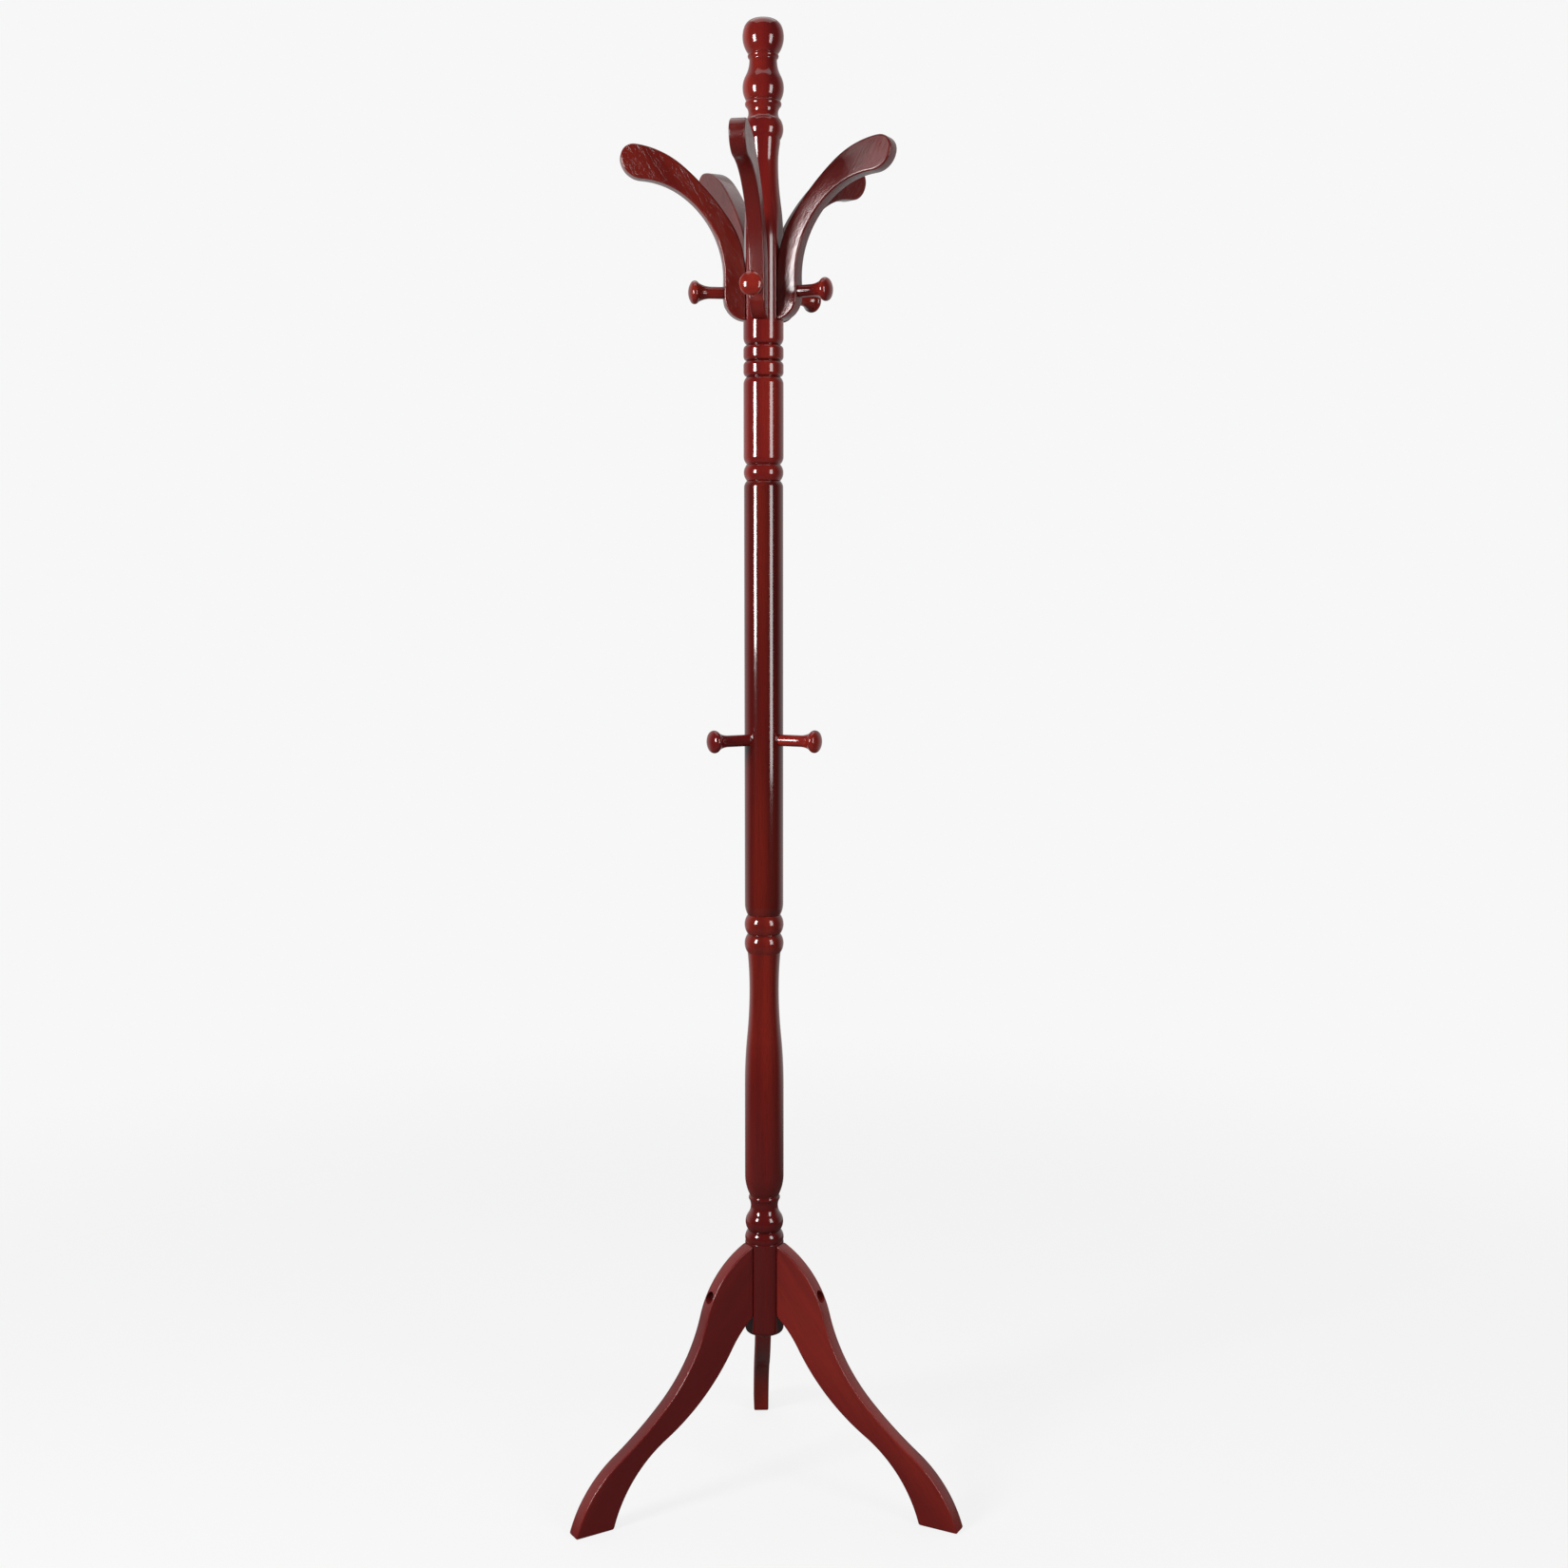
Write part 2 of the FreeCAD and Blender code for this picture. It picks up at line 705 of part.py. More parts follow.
def make_peg(label, level, turn, foot, shoulder, length):
    """A mushroom-headed peg lying along +X from its foot; shoulder is the surface it leaves."""
    body = new_body(label, level, turn)
    sketch = attach(body, "profile", "XZ_Plane")
    shank = size("peg_shank")
    tip = shoulder + length
    head = tip - size("peg_head_length")
    outline = Outline(sketch, foot, 0)
    outline.line(tip, 0)
    outline.bow(tip - size("peg_dome"), size("peg_head") + 0.2, dome_bow(), 1)
    outline.bow(head, "peg_head", "peg_head_bow", 1)
    flare = size("peg_flare")
    outline.bow(head - flare, shank, tangent_bow(size("peg_head") - shank, flare), -1)
    outline.line(foot, shank)
    outline.line(foot, 0)
    revolve(body, sketch, "H_Axis")
    half = size("peg_stud_length") / 2
    bore(body, "stud_hole", "YZ_Plane", foot + half, 0, size("small_thread") + fit, half + 1)
    return body


def dome_bow():
    """Radius of the head's dome, which crosses the peg's axis squarely."""
    return tangent_bow(size("peg_dome"), size("peg_head") + 0.2)


def rod(name, start, level, radius, length):
    """A cylinder that lies along +X from the given distance from the post's axis."""
    cylinder = doc.addObject("Part::Cylinder", name)
    bind(cylinder, "Radius", radius)
    bind(cylinder, "Height", length)
    cylinder.Placement = FreeCAD.Placement(
        FreeCAD.Vector(0, 0, 0), FreeCAD.Rotation(FreeCAD.Vector(0, 1, 0), 90)
    )
    bind(cylinder, "Placement.Base.x", start)
    bind(cylinder, "Placement.Base.z", level)
    return cylinder


def column(name, low, radius, length):
    """An upright cylinder on the post's axis."""
    cylinder = doc.addObject("Part::Cylinder", name)
    bind(cylinder, "Radius", radius)
    bind(cylinder, "Height", length)
    bind(cylinder, "Placement.Base.z", low)
    return cylinder


def hollow(name, outer, inner):
    cut = doc.addObject("Part::Cut", name)
    cut.Base = outer
    cut.Tool = inner
    return cut


def around(name, pieces, turn, count):
    """Copies of the pieces, evenly turned about the post's axis, as separate solids."""
    stations = []
    for number in range(int(count.value)):
        station = doc.addObject("Part::Compound", f"{name}_station_{number + 1}")
        station.Links = pieces
        station.Placement = FreeCAD.Placement(
            FreeCAD.Vector(0, 0, 0), FreeCAD.Rotation(FreeCAD.Vector(0, 0, 1), 1)
        )
        bind(station, "Placement.Rotation.Angle", turn + number * 360 / count)
        stations.append(station)
    group = doc.addObject("Part::Compound", name)
    group.Label = name
    group.Links = stations
    return group


def make_joint(name, seam, stud_radius, stud_length, insert_radius, insert_length):
    """A stud across the seam between two sections, and the insert it screws into."""
    stud = column(f"{name}_stud", seam - stud_length / 2, stud_radius, stud_length)
    outer = column(f"{name}_insert_body", seam - insert_length, insert_radius, insert_length)
    inner = column(f"{name}_insert_thread", seam - insert_length, stud_radius + fit,
                   insert_length)
    return [stud, hollow(f"{name}_insert", outer, inner)]


def make_arm_hardware():
    turn = size("arm_turn")
    count = size("arm_count")
    length = size("arm_insert_length")
    thread = size("small_thread")
    stud_start = arm_pad + size("peg_stud_length") / 2 - size("arm_stud_length")
    level = upper_base + arm_peg_level
    stud = rod("arm_peg_stud", stud_start, level, thread, "arm_stud_length")
    outer = rod("arm_insert_body", arm_flat - length, level, "arm_insert_radius", length)
    inner = rod("arm_insert_thread", arm_flat - length, level, thread + fit, length)
    dowels = [
        rod(f"arm_dowel_{place}", arm_flat - size("dowel_depth"),
            arm_floor + size(f"arm_dowel_{place}"), "arm_dowel_radius", "dowel_length")
        for place in ("low", "high")
    ]
    return [
        around("arm_peg_studs", [stud], turn, count),
        around("arm_inserts", [hollow("arm_insert", outer, inner)], turn, count),
        around("arm_dowels", dowels, turn, count),
    ]


def make_post_peg_hardware():
    start = size("tube_radius") - size("peg_socket") + size("peg_stud_length") / 2
    stud = rod("post_peg_stud", start - size("peg_stud_length") + size("peg_socket") / 2,
               middle_base + size("post_peg_height"), "small_thread",
               size("peg_stud_length") - size("peg_socket") / 2)
    return around("post_peg_studs", [stud], size("leg_turn"), size("post_peg_count"))


def make_leg_hardware():
    turn = size("leg_turn")
    count = size("leg_count")
    level = lower_base + size("leg_bolt_height")
    floor = leg_flat + size("leg_grip")
    under_head = floor + size("washer_thickness")
    reach = size("leg_bolt_length")
    head_length = size("bolt_head_length")
    head = rod("leg_bolt_head", under_head, level, "bolt_head_radius", head_length)
    shank = rod("leg_bolt_shank", under_head - reach, level, "leg_bolt_radius", reach)
    blank = doc.addObject("Part::MultiFuse", "leg_bolt_blank")
    blank.Shapes = [head, shank]
    key = doc.addObject("Part::Prism", "hex_key")
    key.Polygon = 6
    bind(key, "Circumradius", size("hex_key") / math.sqrt(3))
    bind(key, "Height", "hex_depth")
    key.Placement = FreeCAD.Placement(
        FreeCAD.Vector(0, 0, 0), FreeCAD.Rotation(FreeCAD.Vector(0, 1, 0), 90)
    )
    bind(key, "Placement.Base.x", under_head + head_length - size("hex_depth"))
    bind(key, "Placement.Base.z", level)
    bolt = hollow("leg_bolt", blank, key)
    thickness = size("washer_thickness")
    disc = rod("washer_disc", floor, level, "washer_radius", thickness)
    hole = rod("washer_hole", floor, level, size("leg_bolt_radius") + size("bolt_clearance"),
               thickness)
    length = size("leg_insert_length")
    outer = rod("leg_insert_body", leg_flat - length, level, "leg_insert_radius", length)
    inner = rod("leg_insert_thread", leg_flat - length, level, size("leg_bolt_radius") + fit,
                length)
    dowels = [
        rod(f"leg_dowel_{place}", leg_flat - size("dowel_depth"),
            lower_base + size(f"leg_dowel_{place}"), "leg_dowel_radius", "dowel_length")
        for place in ("low", "high")
    ]
    return [
        around("leg_bolts", [bolt], turn, count),
        around("leg_washers", [hollow("leg_washer", disc, hole)], turn, count),
        around("leg_inserts", [hollow("leg_insert", outer, inner)], turn, count),
        around("leg_dowels", dowels, turn, count),
    ]


def make_pegs():
    pegs = []
    for number in range(1, int(sizes["arm_count"]) + 1):
        turn = size("arm_turn") + (number - 1) * 360 / size("arm_count")
        pegs.append(make_peg(f"arm_peg_{number}", upper_base + arm_peg_level, turn,
                             arm_pad, arm_pad, size("arm_peg_length")))
    tube = size("tube_radius")
    level = middle_base + size("post_peg_height")
    for number in range(1, int(sizes["post_peg_count"]) + 1):
        turn = size("leg_turn") + (number - 1) * 360 / size("post_peg_count")
        pegs.append(make_peg(f"post_peg_{number}", level, turn,
                             tube - size("peg_socket"), tube, size("post_peg_length")))
    return pegs


nodes = [make_lower_post(), make_middle_post(), make_upper_post(), make_finial()]
nodes += [make_leg(number) for number in range(1, int(sizes["leg_count"]) + 1)]
nodes += [make_arm(number) for number in range(1, int(sizes["arm_count"]) + 1)]
nodes += make_pegs()
joint_stud = (size("joint_stud_radius"), size("joint_stud_length"))
joint_insert = (size("joint_insert_radius"), size("joint_insert_length"))
nodes += make_joint("lower_joint", middle_base, *joint_stud, *joint_insert)
nodes += make_joint("upper_joint", upper_base, *joint_stud, *joint_insert)
nodes += make_joint("finial", finial_base,
                    size("finial_stud_radius"), size("finial_stud_length"),
                    size("finial_insert_radius"), size("finial_insert_length"))
nodes += make_arm_hardware()
nodes.append(make_post_peg_hardware())
nodes += make_leg_hardware()
doc.recompute()

for item in doc.Objects:
    if "Invalid" in item.State or "Error" in item.State:
        raise RuntimeError(f"{item.Label} did not rebuild: {item.State}")
for node in nodes:
    if node.Shape.isNull() or not node.Shape.isValid():
        raise RuntimeError(f"{node.Label} has no valid shape")

os.makedirs("parts", exist_ok=True)
for node in nodes:
    node.Shape.exportStep(f"parts/{node.Label}.step")
    print(f"{node.Label}: {len(node.Shape.Solids)} solid(s), {node.Shape.Volume / 1000:.1f} cm3")
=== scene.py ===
import json
import math

import bmesh
import bpy
import numpy as np
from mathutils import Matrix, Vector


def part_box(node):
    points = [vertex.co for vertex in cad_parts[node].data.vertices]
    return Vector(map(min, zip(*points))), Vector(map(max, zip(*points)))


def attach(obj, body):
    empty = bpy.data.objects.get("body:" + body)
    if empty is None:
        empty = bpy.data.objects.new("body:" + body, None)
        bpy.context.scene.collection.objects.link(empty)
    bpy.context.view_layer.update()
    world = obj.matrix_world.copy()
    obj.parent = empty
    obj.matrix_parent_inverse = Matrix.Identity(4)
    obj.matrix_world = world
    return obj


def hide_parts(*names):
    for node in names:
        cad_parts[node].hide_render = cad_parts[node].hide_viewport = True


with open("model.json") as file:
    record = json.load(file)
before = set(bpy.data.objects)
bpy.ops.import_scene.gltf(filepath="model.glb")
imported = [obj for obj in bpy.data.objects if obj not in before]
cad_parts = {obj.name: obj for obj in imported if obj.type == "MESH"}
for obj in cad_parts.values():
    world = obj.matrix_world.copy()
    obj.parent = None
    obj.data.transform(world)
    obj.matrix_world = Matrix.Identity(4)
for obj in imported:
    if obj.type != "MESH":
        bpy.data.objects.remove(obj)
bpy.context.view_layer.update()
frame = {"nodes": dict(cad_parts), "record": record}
mm = 0.001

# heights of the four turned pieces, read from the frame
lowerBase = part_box("lower_post")[0][2] / mm
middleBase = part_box("middle_post")[0][2] / mm
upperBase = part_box("upper_post")[0][2] / mm
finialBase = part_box("finial")[0][2] / mm
lowerLength = middleBase - lowerBase
middleLength = upperBase - middleBase
upperLength = finialBase - upperBase
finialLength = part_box("finial")[1][2] / mm - finialBase
sectionBases = [round(base) for base in (lowerBase, middleBase, upperBase, finialBase)]
print("frame loaded, post sections at", *sectionBases)


# arc between two points: the centre lies on the chord's perpendicular, at sqrt(R^2 - chord^2/4)
def arcCentre(start, end, radius, turn):
    chord = end - start
    length = np.hypot(*chord)
    reach = math.sqrt(max(radius * radius - length * length / 4, 0.0))
    return (start + end) / 2 + turn * np.array([-chord[1], chord[0]]) / length * reach


# tangent arc: R = d^2 / (2 * distance of the end point from the heading line)
def tangentRadius(start, end, heading):
    d = end - start
    side = math.cos(heading) * d[1] - math.sin(heading) * d[0]
    return (d @ d) / (2 * side)


# radius of the arc that runs out parallel to the axis: (step^2 + rise^2) / (2 step)
def runOut(step, rise):
    return (step * step + rise * rise) / (2 * step)


# walks the steps and returns closely spaced points in mm, a quarter of a millimetre apart
def walk(start, steps, gap=0.25):
    here = np.array(start, float)
    heading = 0.0
    runs = []
    for step in steps:
        end = np.array(step[1:3], float)
        if step[0] == "line":
            d = end - here
            heading = math.atan2(d[1], d[0])
            count = max(int(np.hypot(*d) / gap), 1)
            part = np.linspace(0, 1, count, endpoint=False)
            runs.append(here + np.outer(part, d))
        else:
            if step[0] == "bow":
                radius, turn = step[3], step[4]
                centre = arcCentre(here, end, radius, turn)
            else:
                signed = tangentRadius(here, end, heading)
                centre = here + signed * np.array([-math.sin(heading), math.cos(heading)])
                radius, turn = abs(signed), (1 if signed > 0 else -1)
            first = math.atan2(*(here - centre)[::-1])
            last = math.atan2(*(end - centre)[::-1])
            sweep = (last - first) * turn % (2 * math.pi) * turn
            count = max(int(abs(sweep) * radius / gap), 2)
            angles = first + np.linspace(0, sweep, count, endpoint=False)
            runs.append(centre + radius * np.stack([np.cos(angles), np.sin(angles)], 1))
            heading = last + turn * math.pi / 2
        here = end
    runs.append(here[None, :])
    return np.concatenate(runs)


# evens the spacing, then softens corners with a Gaussian over the arc length, as sanding and lacquer do
def soften(points, sigma, closed=False, gap=0.25):
    if closed:
        points = np.concatenate([points, points[:1]])
    along = np.concatenate([[0], np.cumsum(np.hypot(*np.diff(points, axis=0).T))])
    count = int(along[-1] / gap)
    even = np.linspace(0, along[-1], count, endpoint=not closed)
    fine = np.stack([np.interp(even, along, points[:, k]) for k in (0, 1)], 1)
    reach = int(4 * sigma / gap)
    taps = np.exp(-0.5 * (np.arange(-reach, reach + 1) * gap / sigma) ** 2)
    taps /= taps.sum()
    if closed:
        padded = np.concatenate([fine[-reach:], fine, fine[:reach]])
    else:
        padded = np.concatenate([2 * fine[0] - fine[reach:0:-1], fine, 2 * fine[-1] - fine[-2:-reach - 2:-1]])
    return np.stack([np.convolve(padded[:, k], taps, "valid") for k in (0, 1)], 1)


# keeps a point wherever the outline has run on by longest, or turned by bend degrees
def thin(points, longest, bend, closed=False):
    ring = np.concatenate([points, points[:1]]) if closed else points
    d = np.diff(ring, axis=0)
    heading = np.unwrap(np.arctan2(d[:, 1], d[:, 0]))
    turning = np.abs(np.gradient(heading))
    cost = np.concatenate([[0], np.cumsum(np.hypot(d[:, 0], d[:, 1]) / longest + np.degrees(turning) / bend)])
    count = int(cost[-1]) + 2
    wanted = np.linspace(0, cost[-1], count, endpoint=not closed)
    picks = [np.interp(wanted, cost, ring[:, k]) for k in (0, 1)]
    return np.stack(picks, 1)


def meshFrom(name, points, faces):
    mesh = bpy.data.meshes.new(name)
    mesh.from_pydata(points, [], faces)
    work = bmesh.new()
    work.from_mesh(mesh)
    bmesh.ops.remove_doubles(work, verts=work.verts, dist=2e-6)
    bmesh.ops.dissolve_degenerate(work, edges=work.edges, dist=1e-6)
    bmesh.ops.recalc_face_normals(work, faces=work.faces)
    work.to_mesh(mesh)
    work.free()
    piece = bpy.data.objects.new(name, mesh)
    bpy.context.scene.collection.objects.link(piece)
    return piece


# quads between neighbouring rows of a grid; the columns close on themselves when round
def gridFaces(rows, columns, roundWay=True):
    i, j = np.meshgrid(np.arange(rows - 1), np.arange(columns if roundWay else columns - 1), indexing="ij")
    k = (j + 1) % columns
    quads = np.stack([i * columns + j, i * columns + k, (i + 1) * columns + k, (i + 1) * columns + j], -1)
    return quads.reshape(-1, 4).tolist()


# turned surface: point(theta, along) = (radius cos theta, radius sin theta, along), and where a flat is cut
# radius = min(profile radius, flat / cos(theta - station))
def turnedGrid(profile, theta, stations=(), flat=0.0, low=0.0, high=0.0):
    radius = np.repeat(profile[:, :1], len(theta), 1)
    for station in stations:
        away = np.cos(theta - station)
        cut = np.where(away > 0.5, flat / np.maximum(away, 0.5), 1e9)
        inside = (profile[:, 1] > low) & (profile[:, 1] < high)
        radius = np.where(inside[:, None], np.minimum(radius, cut[None, :]), radius)
    along = np.repeat(profile[:, 1:], len(theta), 1)
    return np.stack([radius * np.cos(theta), radius * np.sin(theta), along], -1)


# theta steps that land exactly on the sides of each flat
def thetaSteps(stations, halfAngle, onFlat, between):
    pitch = 2 * math.pi / len(stations)
    steps = [np.linspace(-halfAngle, halfAngle, onFlat, endpoint=False),
             np.linspace(halfAngle, pitch - halfAngle, between, endpoint=False)]
    return np.concatenate([station + np.concatenate(steps) for station in stations])


# grain place: x along the grain, y and z across it, in metres, slid so no two pieces share a pattern;
# the second attribute, 0 to 1, darkens the colour: painted shade in turned grooves, with stain gathered there
# too, by how far the surface lies below its neighbours, and painted shade where boards and pegs meet the wood
def addGrain(piece, origin, along, across, seed, stainAndShade=None):
    mesh = piece.data
    count = len(mesh.vertices)
    place = np.empty(count * 3)
    mesh.vertices.foreach_get("co", place)
    place = place.reshape(-1, 3) - np.array(origin)
    along = np.array(along) / np.linalg.norm(along)
    across = np.array(across) - along * (along @ np.array(across))
    across /= np.linalg.norm(across)
    slide = np.random.default_rng(seed).uniform(0.2, 4.0, 3)
    grain = place @ np.stack([along, across, np.cross(along, across)], 1) + slide
    layer = mesh.attributes.new("grainPlace", "FLOAT_VECTOR", "POINT")
    layer.data.foreach_set("vector", grain.astype(np.float32).ravel())
    if stainAndShade is not None:
        depth = mesh.attributes.new("stainAndShade", "FLOAT", "POINT")
        depth.data.foreach_set("value", stainAndShade(place).astype(np.float32))


def finishPiece(piece, materialName, node, crease=32):
    mesh = piece.data
    mesh.materials.clear()
    mesh.materials.append(bpy.data.materials[materialName])
    mesh.shade_smooth()
    mesh.set_sharp_from_angle(angle=math.radians(crease))
    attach(piece, "root")
    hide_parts(node)


class Link:
    # one node socket; + - * / on it add Math nodes
    def __init__(self, board, socket):
        self.board = board
        self.socket = socket

    def math(self, operation, *values):
        return self.board.node("ShaderNodeMath", {"operation": operation}, dict(enumerate(values)))

    def __add__(self, other):
        return self.math("ADD", self, other)

    def __sub__(self, other):
        return self.math("SUBTRACT", self, other)

    def __rsub__(self, other):
        return self.math("SUBTRACT", other, self)

    def __mul__(self, other):
        return self.math("MULTIPLY", self, other)

    def __truediv__(self, other):
        return self.math("DIVIDE", self, other)

    def __pow__(self, other):
        return self.math("POWER", self, other)

    __radd__ = __add__
    __rmul__ = __mul__

    def sine(self):
        return self.math("SINE", self)

    def clip(self, low, high):
        # 0 below low, 1 above high, smooth between
        settings = {"interpolation_type": "SMOOTHSTEP"}
        values = {"Value": self, "From Min": low, "From Max": high}
        return self.board.node("ShaderNodeMapRange", settings, values)


class Board:
    # a material's node board
    def __init__(self, name):
        self.material = bpy.data.materials.new(name)
        self.material.use_nodes = True
        self.tree = self.material.node_tree
        self.tree.nodes.clear()

    def node(self, kind, settings=None, values=None, output=0):
        made = self.tree.nodes.new(kind)
        for key, value in (settings or {}).items():
            setattr(made, key, value)
        for key, value in (values or {}).items():
            socket = made.inputs[key]
            if isinstance(value, Link):
                self.tree.links.new(value.socket, socket)
            else:
                socket.default_value = value
        return Link(self, made.outputs[output]) if len(made.outputs) else None

    def attribute(self, name, output="Vector"):
        return self.node("ShaderNodeAttribute", {"attribute_name": name}, output=output)

    def scaled(self, vector, scale):
        return self.node("ShaderNodeMapping", {}, {"Vector": vector, "Scale": scale})

    def noise(self, vector, scale, detail=3.0, roughness=0.55):
        values = {"Vector": vector, "Scale": scale, "Detail": detail, "Roughness": roughness}
        return self.node("ShaderNodeTexNoise", {}, values)

    def mix(self, factor, first, second):
        made = self.tree.nodes.new("ShaderNodeMix")
        made.data_type = "RGBA"
        sockets = [s for s in made.inputs if s.enabled]
        for socket, value in zip(sockets, (factor, first, second)):
            if isinstance(value, Link):
                self.tree.links.new(value.socket, socket)
            else:
                socket.default_value = value
        return Link(self, [s for s in made.outputs if s.enabled][0])

    def bump(self, height, strength, distance):
        return self.node("ShaderNodeBump", {}, {"Height": height, "Strength": strength, "Distance": distance})

    def finish(self, values):
        shader = self.node("ShaderNodeBsdfPrincipled", {}, values)
        self.node("ShaderNodeOutputMaterial", {}, {"Surface": shader})
        return self.material


cherry = {
    "deep": (0.040, 0.0030, 0.0032, 1),     # stain in the dark lines of the grain
    "body": (0.088, 0.0046, 0.0042, 1),     # the general cherry red
    "warm": (0.158, 0.0115, 0.0068, 1),     # where the stain is thin
    "crevice": (0.020, 0.0022, 0.0022, 1),  # dark of the open pores and of stain gathered in grooves, also the painted shade in grooves and at joints
}


# stained wood under lacquer. Colour = body mixed to warm by a slow noise, to deep by rings and pores;
# rings = sine of the distance across the grain, pushed about by noise; pores and scratches = noises drawn out
# along the grain
def cherryWood(name, wood):
    board = Board(name)
    figure, poreDepth = wood["figure"], wood["poreDepth"]
    stain = {key: tuple(part * wood["lift"] for part in colour[:3]) + (1,) for key, colour in cherry.items()}
    place = board.attribute("grainPlace")
    slow = board.noise(board.scaled(place, (1.6, 14, 14)), 1.0, 2.0)
    wander = board.noise(board.scaled(place, (2.2, 30, 30)), 1.0, 3.0)
    split = board.node("ShaderNodeSeparateXYZ", {}, {"Vector": place}, output=1)
    rings = ((split * wood["rings"] + wander * 9.0).sine() * 0.5 + 0.5) ** 1.6
    streak = board.noise(board.scaled(place, (14, 900, 900)), 1.0, 3.0, 0.65)
    pores = board.noise(board.scaled(place, (55, 2600, 2600)), 1.0, 1.0, 0.5).clip(0.58, 0.72)
    tone = board.mix(slow.clip(0.36, 0.66), stain["body"], stain["warm"])
    tone = board.mix(rings * (0.42 * figure), tone, stain["deep"])
    tone = board.mix(streak.clip(0.42, 0.78) * (0.40 * figure), tone, stain["deep"])
    tone = board.mix(pores * (0.45 * figure), tone, stain["crevice"])
    # painted shade: colour darkened toward the crevice colour in turned grooves (partly gathered stain) and
    # where boards and pegs meet the wood
    tone = board.mix(board.attribute("stainAndShade", "Fac") * 0.8, tone, stain["crevice"])
    orangePeel = board.noise(board.scaled(place, (90, 120, 120)), 1.0, 2.0)
    scratch = board.noise(board.scaled(place, (24, 1500, 1500)), 1.0, 2.0, 0.7)
    height = scratch * poreDepth + pores * (-1.2 * poreDepth) + orangePeel * 0.12
    shine = wood["roughness"] + scratch.clip(0.45, 0.70) * (0.15 * poreDepth) + slow * 0.03
    return board.finish({
        "Base Color": tone,
        "Roughness": shine,
        "Normal": board.bump(height, 0.30 + 0.30 * poreDepth, 0.00018 + 0.00029 * poreDepth),
        "IOR": 1.5,
        "Coat Weight": wood["coat"],
        "Coat Roughness": 0.06,
    })


# lift: how light the stain is; rings: how close they lie; figure: how strongly the grain shows;
# poreDepth: how open it is
woods = {
    "cherryTop": {"lift": 1.90, "rings": 260.0, "figure": 0.9,
                  "poreDepth": 0.08, "roughness": 0.09, "coat": 0.30},
    "cherryTube": {"lift": 0.98, "rings": 260.0, "figure": 0.9,
                   "poreDepth": 0.08, "roughness": 0.08, "coat": 0.30},
    "cherryBase": {"lift": 1.45, "rings": 260.0, "figure": 0.9,
                   "poreDepth": 0.08, "roughness": 0.09, "coat": 0.30},
    "cherryArm": {"lift": 1.25, "rings": 190.0, "figure": 0.7,
                  "poreDepth": 0.68, "roughness": 0.15, "coat": 0.25},
    "cherryLeg": {"lift": 1.85, "rings": 190.0, "figure": 0.7,
                  "poreDepth": 0.35, "roughness": 0.28, "coat": 0.14},
}
for name, wood in woods.items():
    cherryWood(name, wood)
print("wood materials made")


# bare beech: pale, with short dark flecks
def beechWood():
    board = Board("beechDowel")
    place = board.node("ShaderNodeTexCoord", output=3)
    fleck = board.noise(board.scaled(place, (700, 700, 700)), 1.0, 2.0, 0.6).clip(0.55, 0.7)
    slow = board.noise(place, 60.0, 3.0)
    tone = board.mix(slow, (0.50, 0.31, 0.15, 1), (0.62, 0.42, 0.23, 1))
    tone = board.mix(fleck * 0.5, tone, (0.28, 0.15, 0.07, 1))
    return board.finish({
        "Base Color": tone,
        "Roughness": 0.55 + fleck * 0.15,
        "Normal": board.bump(slow + fleck, 0.3, 0.0002),
    })


# plated or cut metal: fine marks from a close noise, cloudy roughness from a slow one
def turnedMetal(name, base, dark, roughness):
    board = Board(name)
    place = board.node("ShaderNodeTexCoord", output=3)
    cloud = board.noise(place, 220.0, 4.0, 0.6)
    marks = board.noise(board.scaled(place, (1800, 1800, 1800)), 1.0, 1.0)
    return board.finish({
        "Base Color": board.mix(cloud.clip(0.35, 0.75), base, dark),
        "Metallic": 1.0,
        "Roughness": roughness + cloud * 0.18,
        "Normal": board.bump(marks, 0.25, 0.0001),
    })


beechWood()
turnedMetal("zincPlate", (0.62, 0.63, 0.65, 1), (0.40, 0.40, 0.42, 1), 0.22)
turnedMetal("cutBrass", (0.74, 0.56, 0.28, 1), (0.48, 0.33, 0.14, 1), 0.25)
finishes = {"beech": "beechDowel", "zinc_steel": "zincPlate", "brass": "cutBrass"}
for entry in frame["record"]["subparts"]:
    if entry["material_slot"] in finishes:
        hardware = frame["nodes"][entry["node"]]
        hardware.data.materials.clear()
        hardware.data.materials.append(bpy.data.materials[finishes[entry["material_slot"]]])
print("hardware finished")


lower = {
    "stock": 24.4, "groove": 20.4, "footRound": 6.0, "legSeat": 119.0, "legCount": 3, "legHalf": 10.0,
    "ringFoot": 23.4, "ring": 15.0, "ringBow": 14.0, "ball": 21.0, "ballBow": 17.5,
    "cove": 18.0, "coveBow": 18.0, "coveTop": 18.8, "band": 6.0, "bandBow": 4.0, "bandTop": 18.2,
    "spindleRound": 26.0, "waistFall": 120.0, "waist": 18.4, "waistRise": 46.0, "waistEnd": 20.6,
    "bead": 24.0, "beadBow": 20.0,
}
middle = {"stock": 24.0, "groove": 20.4, "footRound": 14.0, "headRound": 8.0}
upper = {
    "stock": 24.4, "groove": 20.4, "collar": 20.0, "collarBow": 15.0, "grip": 105.0, "gripRound": 9.0,
    "bead": 18.9, "beadFlat": 8.0, "armSeat": 191.0, "armCount": 5, "armHalf": 9.5, "armTurn": -101.2,
    "shoulder": 283.0, "neckHeight": 378.0, "neck": 18.0, "neckEnd": 401.0, "neckEndRadius": 20.2,
    "capitalStep": 4.5, "capitalBow": 21.0, "seam": 21.4,
}
